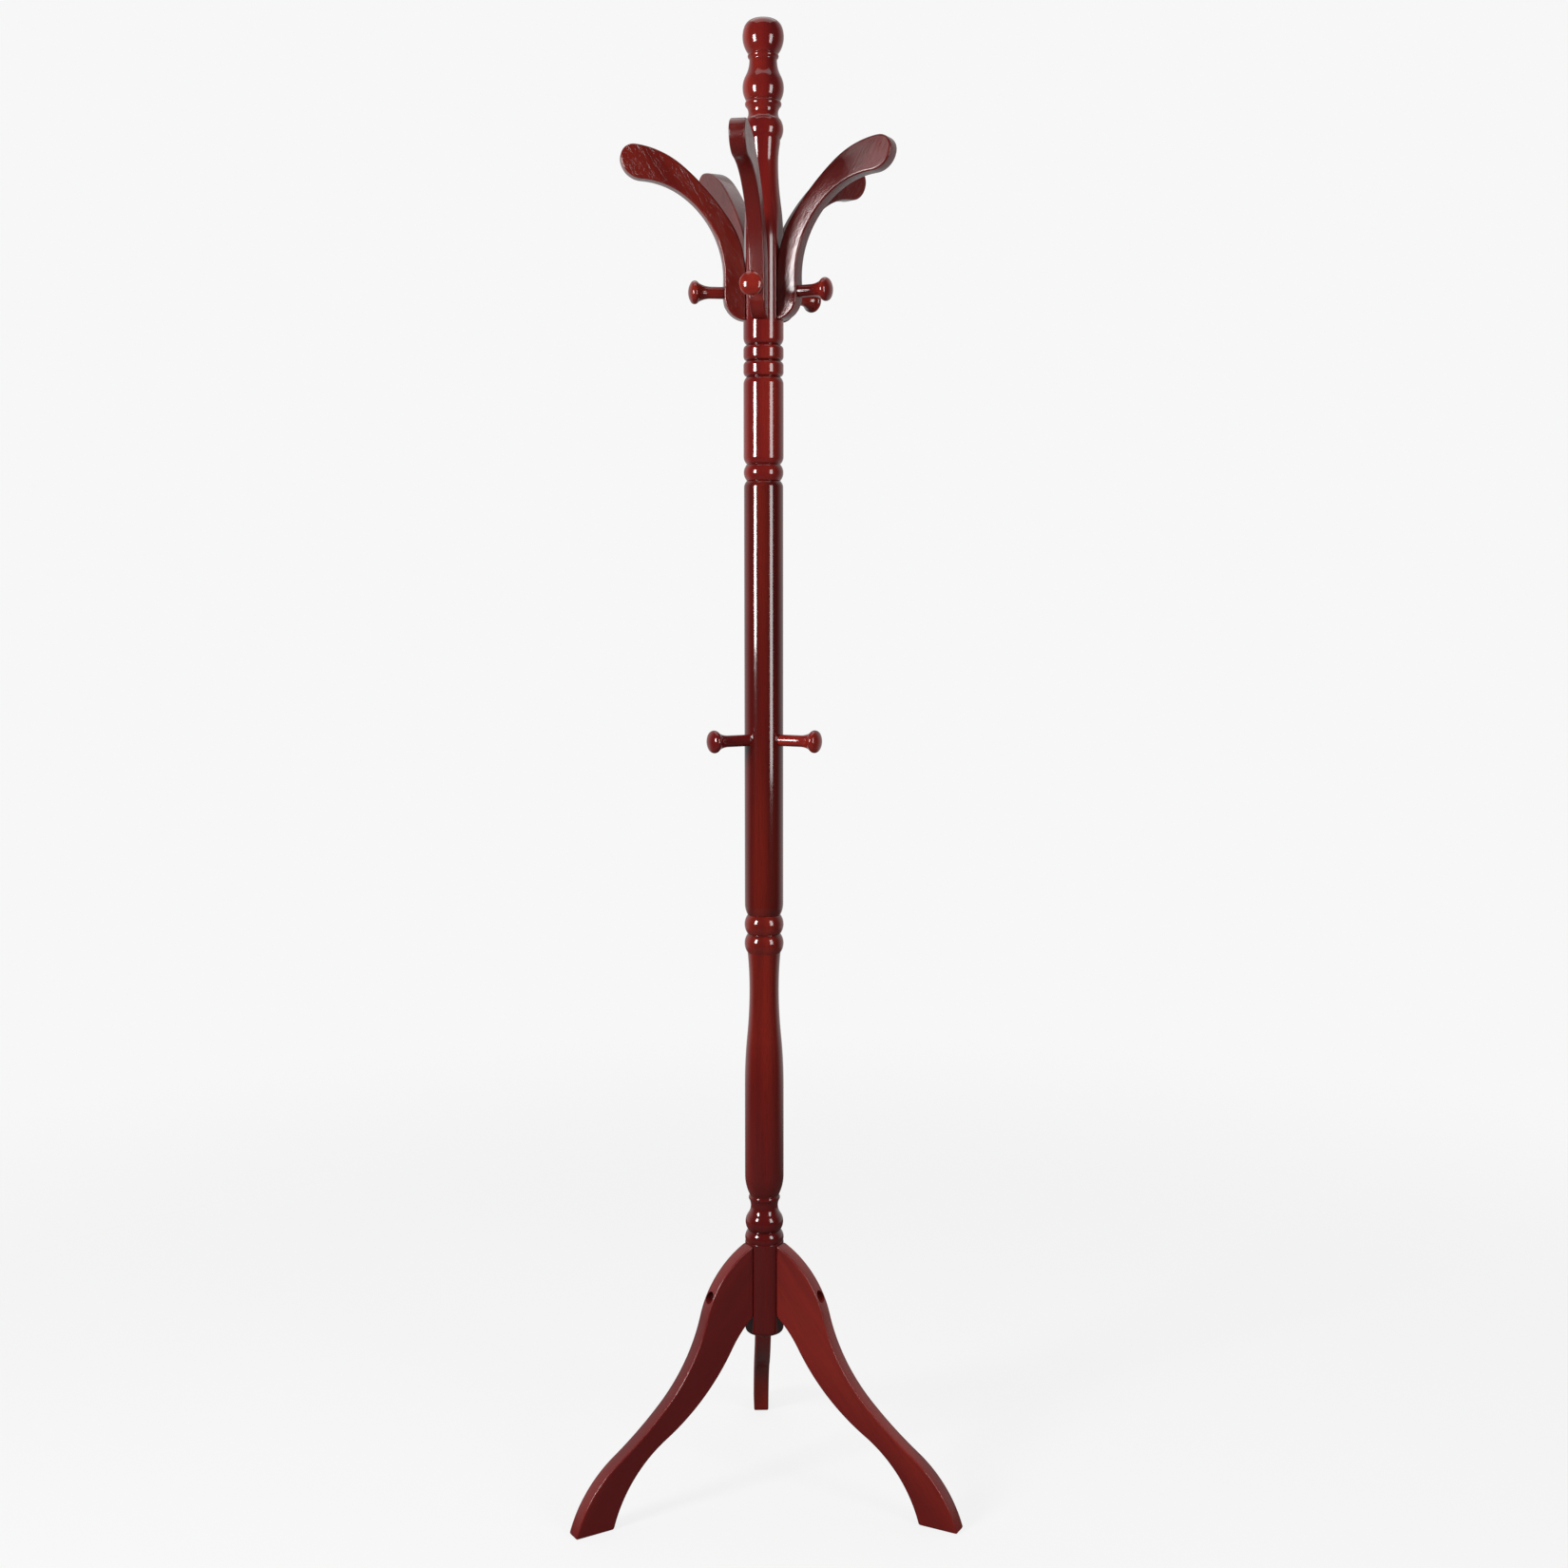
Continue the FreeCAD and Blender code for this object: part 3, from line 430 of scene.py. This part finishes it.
finial = {
    "seam": 21.4, "groove": 20.4, "saucer": 16.5, "saucerBow": 11.5, "lip": 6.0, "lipBow": 5.0,
    "vaseTop": 51.5, "vaseTopRadius": 21.3, "vaseBow": 28.6, "neck": 70.5, "neckRadius": 16.6,
    "bead": 17.6, "beadStep": 1.5, "beadHeight": 5.0, "beadBow": 3.4,
    "knob": 24.8, "knobHeight": 97.0, "shoulder": 22.8, "shoulderHeight": 108.0,
    "crown": 13.0, "crownDrop": 1.5,
}


def lowerSteps(s):
    ringTop = s["legSeat"] + s["ring"]
    ballTop = ringTop + s["ball"]
    coveTop = ballTop + s["cove"]
    bandTop = coveTop + s["band"]
    beadHigh = lowerLength - s["bead"]
    beadLow = beadHigh - s["bead"]
    waist = beadLow - s["waistRise"]
    spindleTop = waist - s["waistFall"]
    spindleBow = runOut(s["stock"] - s["bandTop"], s["spindleRound"])
    return [
        ("line", s["stock"] - s["footRound"], 0),
        ("bow", s["stock"], s["footRound"], s["footRound"], 1),
        ("line", s["stock"], s["legSeat"]),
        ("line", s["ringFoot"], s["legSeat"]),
        ("bow", s["groove"], ringTop, s["ringBow"], 1),
        ("bow", s["groove"], ballTop, s["ballBow"], 1),
        ("bow", s["coveTop"], coveTop, s["coveBow"], -1),
        ("bow", s["bandTop"], bandTop, s["bandBow"], 1),
        ("bow", s["stock"], bandTop + s["spindleRound"], spindleBow, 1),
        ("line", s["stock"], spindleTop),
        ("sweep", (s["waist"] + s["stock"]) / 2, spindleTop + s["waistFall"] / 2),
        ("sweep", s["waist"], waist),
        ("sweep", s["waistEnd"], beadLow),
        ("line", s["groove"], beadLow),
        ("bow", s["groove"], beadHigh, s["beadBow"], 1),
        ("bow", s["groove"], lowerLength, s["beadBow"], 1),
        ("line", 0, lowerLength),
    ]


def middleSteps(s):
    step = s["stock"] - s["groove"]
    return [
        ("line", s["groove"], 0),
        ("bow", s["stock"], s["footRound"], runOut(step, s["footRound"]), 1),
        ("line", s["stock"], middleLength - s["headRound"]),
        ("bow", s["groove"], middleLength, runOut(step, s["headRound"]), 1),
        ("line", 0, middleLength),
    ]


def upperSteps(s):
    step = s["stock"] - s["groove"]
    gripTop = s["collar"] + s["grip"]
    roundBow = runOut(step, s["gripRound"])
    beadRound = (s["bead"] - s["beadFlat"]) / 2
    steps = [
        ("line", s["groove"], 0),
        ("bow", s["groove"], s["collar"], s["collarBow"], 1),
        ("bow", s["stock"], s["collar"] + s["gripRound"], roundBow, 1),
        ("line", s["stock"], gripTop - s["gripRound"]),
        ("bow", s["groove"], gripTop, roundBow, 1),
    ]
    for beadLow in (gripTop, gripTop + s["bead"]):
        steps += [
            ("bow", s["stock"], beadLow + beadRound, runOut(step, beadRound), 1),
            ("line", s["stock"], beadLow + s["bead"] - beadRound),
            ("bow", s["groove"], beadLow + s["bead"], runOut(step, beadRound), 1),
        ]
    columnLow = gripTop + 2 * s["bead"]
    return steps + [
        ("bow", s["stock"], columnLow + s["gripRound"], roundBow, 1),
        ("line", s["stock"], s["shoulder"]),
        ("sweep", (s["stock"] + s["neck"]) / 2, (s["shoulder"] + s["neckHeight"]) / 2),
        ("sweep", s["neck"], s["neckHeight"]),
        ("sweep", s["neckEndRadius"], s["neckEnd"]),
        ("line", s["groove"], s["neckEnd"] + s["capitalStep"]),
        ("bow", s["seam"], upperLength, s["capitalBow"], 1),
        ("line", 0, upperLength),
    ]


def finialSteps(s):
    lipTop = s["saucer"] + s["lip"]
    beadLow = s["neck"] + s["beadStep"]
    beadTop = beadLow + s["beadHeight"]
    return [
        ("line", s["seam"], 0),
        ("bow", s["seam"], s["saucer"], s["saucerBow"], -1),
        ("bow", s["groove"], lipTop, s["lipBow"], 1),
        ("bow", s["vaseTopRadius"], s["vaseTop"], s["vaseBow"], 1),
        ("sweep", s["neckRadius"], s["neck"]),
        ("line", s["bead"], beadLow),
        ("bow", s["bead"], beadTop, s["beadBow"], 1),
        ("bow", s["knob"], s["knobHeight"], runOut(s["knob"] - s["bead"], s["knobHeight"] - beadTop), 1),
        ("sweep", s["shoulder"], s["shoulderHeight"]),
        ("sweep", s["crown"], finialLength - s["crownDrop"]),
        ("bow", 0, finialLength, runOut(s["crownDrop"], s["crown"]), 1),
    ]


# how deep each height of a profile lies below its widest neighbours, over a few millimetres; this depth sets
# the painted shade in the grooves, where stain gathers too
def hollowOf(profile, reach=5.0, depth=3.5):
    order = np.argsort(profile[:, 1], kind="stable")
    heights, radii = profile[order, 1], profile[order, 0]
    even = np.arange(heights[0], heights[-1], 0.5)
    level = np.interp(even, heights, radii)
    span = int(reach / 0.5)
    windows = np.lib.stride_tricks.sliding_window_view(np.pad(level, span, mode="edge"), 2 * span + 1)
    half = windows.shape[1] // 2
    below = np.minimum(windows[:, :half].max(1), windows[:, half:].max(1)) - level
    return even, np.clip(below / depth, 0, 1)


def turnPiece(node, steps, base, seed, wood, stations=(), flat=0.0, low=0.0, high=0.0, halfAngle=0.0):
    profile = soften(walk((0, 0), steps), 0.35)
    profile[[0, -1], 0] = 0
    profile = thin(profile, 14.0, 5.0)
    if len(stations):
        theta = thetaSteps(stations, halfAngle, 12, 8 if len(stations) == 5 else 20)
        edges = (low - 0.02, low + 0.02, high - 0.02, high + 0.02)
        extra = [np.array([[np.interp(z, profile[:, 1], profile[:, 0]), z]]) for z in edges]
        inside = [row for row in extra if 1 < row[0, 1] < profile[-1, 1] - 1]
        profile = np.concatenate([profile] + inside)
        profile = profile[np.argsort(profile[:, 1], kind="stable")]
    else:
        theta = np.linspace(0, 2 * math.pi, 96, endpoint=False)
    profile[:, 0] = np.maximum(profile[:, 0], 0)
    grid = turnedGrid(profile, theta, stations, flat, low, high)
    grid[..., 2] += base
    piece = meshFrom(node + "_turning", grid.reshape(-1, 3) * mm, gridFaces(len(profile), len(theta)))
    # painted shade in the turned grooves, with gathered stain, from the groove depth
    heights, depths = hollowOf(profile)
    addGrain(piece, (0, 0, base * mm), (0, 0, 1), (1, 0, 0), seed,
             lambda p: np.interp(p[:, 2] / mm, heights, depths))
    finishPiece(piece, wood, node, 20 if len(stations) else 40)
    print(node, "turned,", len(piece.data.polygons), "faces")
    return piece


legTurn = math.radians(90)
legStations = legTurn + 2 * math.pi * np.arange(lower["legCount"]) / lower["legCount"]
legFlat = math.sqrt(lower["stock"] ** 2 - lower["legHalf"] ** 2)
armTurn = math.radians(upper["armTurn"])
armStations = armTurn + 2 * math.pi * np.arange(upper["armCount"]) / upper["armCount"]
armFlat = math.sqrt(upper["stock"] ** 2 - upper["armHalf"] ** 2)

turnPiece("lower_post", lowerSteps(lower), lowerBase, 11, "cherryBase", legStations, legFlat, -1.0,
          lower["legSeat"], math.asin(lower["legHalf"] / lower["stock"]))
turnPiece("middle_post", middleSteps(middle), middleBase, 12, "cherryTube")
turnPiece("upper_post", upperSteps(upper), upperBase, 13, "cherryTop", armStations, armFlat,
          upper["armSeat"], upper["neckHeight"], math.asin(upper["armHalf"] / upper["stock"]))
turnPiece("finial", finialSteps(finial), finialBase, 14, "cherryTop")


peg = {
    "shank": 7.2, "head": 11.5, "headBow": 5.2, "headLength": 12.3, "dome": 3.5, "flare": 15.0,
    "armSeat": 48.5, "armLength": 43.0, "armLevel": 33.0,
    "postSocket": 12.0, "postLength": 54.5, "postLevel": 219.0,
}


# a peg is turned about its own axis: steps run from the foot out to the dome
def pegSteps(s, foot, tip):
    head = tip - s["headLength"]
    rim = s["head"] + 0.2
    return [
        ("line", s["shank"], foot),
        ("line", s["shank"], head - s["flare"]),
        ("bow", s["head"], head, runOut(s["head"] - s["shank"], s["flare"]), -1),
        ("bow", rim, tip - s["dome"], s["headBow"], 1),
        ("bow", 0, tip, runOut(s["dome"], rim), 1),
    ]


def turnPeg(node, angle, level, foot, tip, seed):
    profile = soften(walk((0, foot), pegSteps(peg, foot, tip)), 0.3)
    profile[[0, -1], 0] = 0
    profile = thin(profile, 5.0, 6.0)
    profile[:, 0] = np.maximum(profile[:, 0], 0)
    theta = np.linspace(0, 2 * math.pi, 56, endpoint=False)
    grid = turnedGrid(profile, theta)
    out = np.array([math.cos(angle), math.sin(angle), 0])
    side = np.array([-math.sin(angle), math.cos(angle), 0])
    up = np.array([0, 0, 1.0])
    points = grid[..., 2:] * out + grid[..., :1] * side + grid[..., 1:2] * up + level * up
    piece = meshFrom(node + "_turning", points.reshape(-1, 3) * mm, gridFaces(len(profile), len(theta)))
    start = foot + 6
    # painted shade: colour darkened within three millimetres of the peg's foot, where it meets the wood
    addGrain(piece, level * up * mm, out, side, seed,
             lambda p: np.clip(1 - (p @ out / mm - start + 6) / 3.0, 0, 1) * 0.6)
    finishPiece(piece, "cherryTop", node, 40)


armFloor = upperBase + upper["armSeat"]
for k, station in enumerate(armStations):
    turnPeg(f"arm_peg_{k + 1}", station, armFloor + peg["armLevel"], peg["armSeat"],
            peg["armSeat"] + peg["armLength"], 30 + k)
for k, station in enumerate(legStations):
    turnPeg(f"post_peg_{k + 1}", station, middleBase + peg["postLevel"], middle["stock"] - peg["postSocket"],
            middle["stock"] + peg["postLength"], 40 + k)
print("pegs turned")


arm = {
    "half": 9.5, "reach": 172.0, "rise": 203.5, "contact": 54.0, "pad": 48.5, "padTop": 42.0, "padFoot": 27.5,
    "tipDepth": 40.5, "tipDrop": 17.5, "tipBack": 17.0, "tipUnder": 25.0,
    "eased": 2.0, "corner": 1.7, "grain": (0.52, 0.85),
}
leg = {
    "half": 10.0, "reach": 273.0, "sole": 52.0, "heel": 26.0, "shoulderBow": 129.0, "footBow": 165.0,
    "gap": 0.5, "eased": 2.0, "corner": 1.6, "grain": (0.62, -0.78),
    "boltLevel": 59.0, "grip": 36.0, "counterbore": 7.25, "boltHole": 4.3, "drillBack": 4, "drillRun": 40,
}


def armSteps(s, flat):
    run = s["reach"] - flat
    return (flat, 0), [
        ("line", flat, s["contact"]),
        ("sweep", flat + 0.137 * run, 0.59 * s["rise"]),
        ("sweep", flat + 0.507 * run, 0.885 * s["rise"]),
        ("sweep", s["reach"] - s["tipBack"], s["rise"]),
        ("sweep", s["reach"], s["rise"] - s["tipDrop"]),
        ("sweep", s["reach"] - s["tipUnder"], s["rise"] - s["tipDepth"]),
        ("sweep", flat + 0.511 * run, 0.722 * s["rise"]),
        ("sweep", s["pad"], s["padTop"]),
        ("line", s["pad"], s["padFoot"]),
        ("sweep", flat, 0),
    ]


def legSteps(s, flat):
    run = s["reach"] - flat
    top = lowerBase + lower["legSeat"] - s["gap"]
    heel = lowerBase + s["heel"]
    return (flat, heel), [
        ("line", flat, top),
        ("bow", flat + 0.266 * run, 0.743 * top, s["shoulderBow"], -1),
        ("sweep", flat + 0.501 * run, 0.426 * top),
        ("sweep", flat + 0.757 * run, 0.261 * top),
        ("sweep", s["reach"], 0),
        ("line", s["reach"] - s["sole"], 0),
        ("bow", flat + 0.497 * run, 0.302 * top, s["footBow"], 1),
        ("sweep", flat + 0.1225 * run, 0.597 * top),
        ("sweep", flat, heel),
    ]


# splits a closed outline at two points and gives both sides the same number of steps, matched by their
# share of each side's length, so that opposite points can be joined by rungs
def twoSides(outline, near, far, longest=3.0):
    first = np.argmin(np.hypot(*(outline - np.array(near)).T))
    ring = np.roll(outline, -first, 0)
    split = np.argmin(np.hypot(*(ring - np.array(far)).T))
    sides = [ring[:split + 1], np.concatenate([ring[split:], ring[:1]])[::-1]]
    lengths = [np.concatenate([[0], np.cumsum(np.hypot(*np.diff(side, axis=0).T))]) for side in sides]
    count = int(max(lengths[0][-1], lengths[1][-1]) / longest)
    share = np.linspace(0, 1, count)
    up, down = [np.stack([np.interp(share, run / run[-1], side[:, k]) for k in (0, 1)], 1)
                for side, run in zip(sides, lengths)]
    return np.concatenate([up, down[-2:0:-1]]), count


# a board is its outline drawn in by an amount: inset = eased (1 - cos phi) and face height = half - eased
# (1 - sin phi), with phi from a face (90 degrees) down to the sawn edge (0) and the same on the other face;
# each face is a ladder of quads between the two sides of the inset outline
def sawBoard(node, start, steps, size, angle, level, near, far):
    outline = soften(walk(start, steps)[:-1], size["corner"], closed=True)
    outline, count = twoSides(outline, near, far)
    ahead = np.roll(outline, -1, 0) - outline
    ahead /= np.hypot(ahead[:, 0], ahead[:, 1])[:, None]
    behind = np.roll(ahead, 1, 0)
    inward = np.stack([ahead[:, 1] + behind[:, 1], -ahead[:, 0] - behind[:, 0]], 1)
    inward /= (1 + (ahead * behind).sum(1))[:, None]
    phi = np.radians(np.linspace(90, 0, 6))
    draw = np.concatenate([[size["eased"] + 0.4], size["eased"] * (1 - np.cos(phi))])
    draw = np.concatenate([draw, draw[::-1]])
    height = np.concatenate([[size["half"]], size["half"] - size["eased"] * (1 - np.sin(phi))])
    height = np.concatenate([height, -height[::-1]])
    plan = outline[None, :, :] + inward[None, :, :] * draw[:, None, None]
    out = np.array([math.cos(angle), math.sin(angle), 0])
    side = np.array([-math.sin(angle), math.cos(angle), 0])
    up = np.array([0, 0, 1.0])
    points = plan[..., :1] * out + plan[..., 1:] * up + height[:, None, None] * side + level * up
    rows, columns = plan.shape[:2]
    faces = gridFaces(rows, columns)
    for base in (0, (rows - 1) * columns):
        for k in range(count - 1):
            rung = [k, k + 1, (columns - k - 1) % columns, (columns - k) % columns]
            faces.append([base + place for place in dict.fromkeys(rung)])
    piece = meshFrom(node + "_board", points.reshape(-1, 3) * mm, faces)
    return piece, out, side, up


# drill shape for a leg: bolt hole, then the wider counterbore out through the edge
def drillLeg(piece, out, side, up):
    level = lowerBase + leg["boltLevel"]
    floor = legFlat + leg["grip"]
    back, rimEnd = legFlat - leg["drillBack"], floor + leg["drillRun"]
    rim = [(0, back), (leg["boltHole"], back), (leg["boltHole"], floor),
           (leg["counterbore"], floor), (leg["counterbore"], rimEnd), (0, rimEnd)]
    profile = np.array(rim, float)
    theta = np.linspace(0, 2 * math.pi, 48, endpoint=False)
    grid = turnedGrid(profile, theta)
    points = grid[..., 2:] * out + grid[..., :1] * side + grid[..., 1:2] * up + level * up
    drill = meshFrom("drill", points.reshape(-1, 3) * mm, gridFaces(len(profile), len(theta)))
    cut = piece.modifiers.new("bolt_hole", "BOOLEAN")
    cut.operation = "DIFFERENCE"
    cut.solver = "EXACT"
    cut.object = drill
    shape = bpy.data.meshes.new_from_object(piece.evaluated_get(bpy.context.evaluated_depsgraph_get()))
    piece.modifiers.clear()
    old = piece.data
    piece.data = shape
    bpy.data.meshes.remove(old)
    bpy.data.objects.remove(drill)


# contact shade: painted shade, the colour darker within two and a half millimetres of the post where the
# board meets it
def contactShade(out, flat):
    return lambda p: np.clip(1 - (p @ out / mm - flat) / 2.5, 0, 1) * 0.7


armEnds = (armFlat, arm["contact"] / 2), (arm["reach"], arm["rise"] - arm["tipDrop"])
for k, station in enumerate(armStations):
    start, steps = armSteps(arm, armFlat)
    piece, out, side, up = sawBoard(f"arm_{k + 1}", start, steps, arm, station, armFloor, *armEnds)
    grainWay = arm["grain"][0] * out + arm["grain"][1] * up
    addGrain(piece, armFloor * up * mm, grainWay, side, 50 + k, contactShade(out, armFlat))
    finishPiece(piece, "cherryArm", f"arm_{k + 1}", 35)
print("arms sawn")
legEnds = (legFlat, lowerBase + leg["boltLevel"]), (leg["reach"] - leg["sole"] / 2, 0)
for k, station in enumerate(legStations):
    start, steps = legSteps(leg, legFlat)
    piece, out, side, up = sawBoard(f"leg_{k + 1}", start, steps, leg, station, 0.0, *legEnds)
    drillLeg(piece, out, side, up)
    grainWay = leg["grain"][0] * out + leg["grain"][1] * up
    addGrain(piece, (0, 0, 0), grainWay, side, 60 + k, contactShade(out, legFlat))
    finishPiece(piece, "cherryLeg", f"leg_{k + 1}", 35)
print("legs sawn")


studio = {
    "pale": 0.93, "cameraSide": 0.05, "backSide": 0.55, "floorGlow": 0.815, "floorPaint": 0.12,
    "floorRadius": 14.0, "fadeFrom": 1.0, "fadeTo": 2.6,
}


# floor: a disc whose paint fades to clear far out, so it has no visible far edge; its glow is there for the
# camera only, and reflections and bounced light see the paint alone
def makeFloor():
    theta = np.linspace(0, 2 * math.pi, 72, endpoint=False)
    radii = np.array([0.0, 0.4, 1.0, 2.0, 4.0, 8.0, studio["floorRadius"]])
    flatness = np.zeros((len(radii), len(theta)))
    grid = np.stack([radii[:, None] * np.cos(theta), radii[:, None] * np.sin(theta), flatness], -1)
    floor = meshFrom("paleFloor", grid.reshape(-1, 3), gridFaces(len(radii), len(theta)))
    if floor.data.polygons[0].normal.z < 0:
        floor.data.flip_normals()
    board = Board("palePaper")
    place = board.node("ShaderNodeTexCoord", output=3)
    distance = board.node("ShaderNodeVectorMath", {"operation": "LENGTH"}, {0: place}, output=1)
    fibre = board.noise(place, 40.0, 3.0)
    plain, fibrous = [(studio["floorPaint"] * part,) * 3 + (1,) for part in (1, 1.03)]
    paint = board.node("ShaderNodeBsdfDiffuse", {}, {"Color": board.mix(fibre, plain, fibrous)})
    seen = board.node("ShaderNodeLightPath")
    glow = board.node("ShaderNodeEmission", {}, {"Color": (1, 1, 1, 1),
                                                 "Strength": seen * studio["floorGlow"]})
    solid = board.node("ShaderNodeAddShader", {}, {0: paint, 1: glow})
    clear = board.node("ShaderNodeBsdfTransparent")
    far = distance.clip(studio["fadeFrom"], studio["fadeTo"])
    shader = board.node("ShaderNodeMixShader", {}, {0: far, 1: solid, 2: clear})
    board.node("ShaderNodeOutputMaterial", {}, {"Surface": shader})
    floor.data.materials.append(board.material)


# surroundings: seen directly they are one pale tone; as light they are dim in front and bright behind
def makeSurroundings():
    world = bpy.data.worlds.new("studioSurroundings")
    bpy.context.scene.world = world
    world.use_nodes = True
    tree = world.node_tree
    tree.nodes.clear()
    place = tree.nodes.new("ShaderNodeTexCoord")
    split = tree.nodes.new("ShaderNodeSeparateXYZ")
    tree.links.new(place.outputs["Generated"], split.inputs[0])
    ramp = tree.nodes.new("ShaderNodeMapRange")
    ramp.interpolation_type = "SMOOTHSTEP"
    for key, value in (("From Min", -0.15), ("From Max", 0.55),
                       ("To Min", studio["cameraSide"]), ("To Max", studio["backSide"])):
        ramp.inputs[key].default_value = value
    tree.links.new(split.outputs[1], ramp.inputs["Value"])
    path = tree.nodes.new("ShaderNodeLightPath")
    lit = tree.nodes.new("ShaderNodeBackground")
    lit.inputs["Color"].default_value = (1, 1, 1, 1)
    tree.links.new(ramp.outputs[0], lit.inputs["Strength"])
    seen = tree.nodes.new("ShaderNodeBackground")
    seen.inputs["Color"].default_value = (1, 1, 1, 1)
    seen.inputs["Strength"].default_value = studio["pale"]
    choose = tree.nodes.new("ShaderNodeMixShader")
    tree.links.new(path.outputs["Is Camera Ray"], choose.inputs[0])
    tree.links.new(lit.outputs[0], choose.inputs[1])
    tree.links.new(seen.outputs[0], choose.inputs[2])
    output = tree.nodes.new("ShaderNodeOutputWorld")
    tree.links.new(choose.outputs[0], output.inputs["Surface"])


lamps = {
    "leftBox": {"azimuth": -142.0, "distance": 2.2, "height": 1.50, "size": (0.52, 0.98), "radiance": 32.0},
    "rightBox": {"azimuth": -46.0, "distance": 2.2, "height": 1.38, "size": (0.66, 1.36), "radiance": 8.0},
    "topSheet": {"azimuth": 90.0, "distance": 0.3, "height": 3.6, "size": (2.4, 2.4), "radiance": 1.2},
}


def makeLamps():
    for name, lamp in lamps.items():
        light = bpy.data.lights.new(name, "AREA")
        light.shape = "RECTANGLE"
        light.size, light.size_y = lamp["size"]
        light.energy = lamp["radiance"] * math.pi * lamp["size"][0] * lamp["size"][1]
        holder = bpy.data.objects.new(name, light)
        bpy.context.scene.collection.objects.link(holder)
        turn = math.radians(lamp["azimuth"])
        distance = lamp["distance"]
        holder.location = (distance * math.cos(turn), distance * math.sin(turn), lamp["height"])
        lying = name == "topSheet"
        holder.rotation_euler = (0, 0, 0) if lying else (math.radians(90), 0, turn + math.radians(90))


view = {"distance": 2.387, "height": 1.143, "azimuth": -91.2, "pitch": 5.7, "yaw": 0.598, "focal": 2033.2}


def makeCamera():
    camera = bpy.data.cameras.new("studioCamera")
    camera.sensor_width = 36.0
    camera.lens = view["focal"] / 1650 * 36.0
    camera.clip_start = 0.05
    camera.clip_end = 100.0
    holder = bpy.data.objects.new("studioCamera", camera)
    bpy.context.scene.collection.objects.link(holder)
    turn = math.radians(view["azimuth"])
    holder.location = (view["distance"] * math.cos(turn), view["distance"] * math.sin(turn), view["height"])
    heading = view["azimuth"] + 90 - view["yaw"]
    holder.rotation_euler = (math.radians(90 - view["pitch"]), 0, math.radians(heading))
    bpy.context.scene.camera = holder


makeFloor()
makeSurroundings()
makeLamps()
makeCamera()
bpy.context.scene.view_settings.view_transform = "Standard"
print("studio ready")
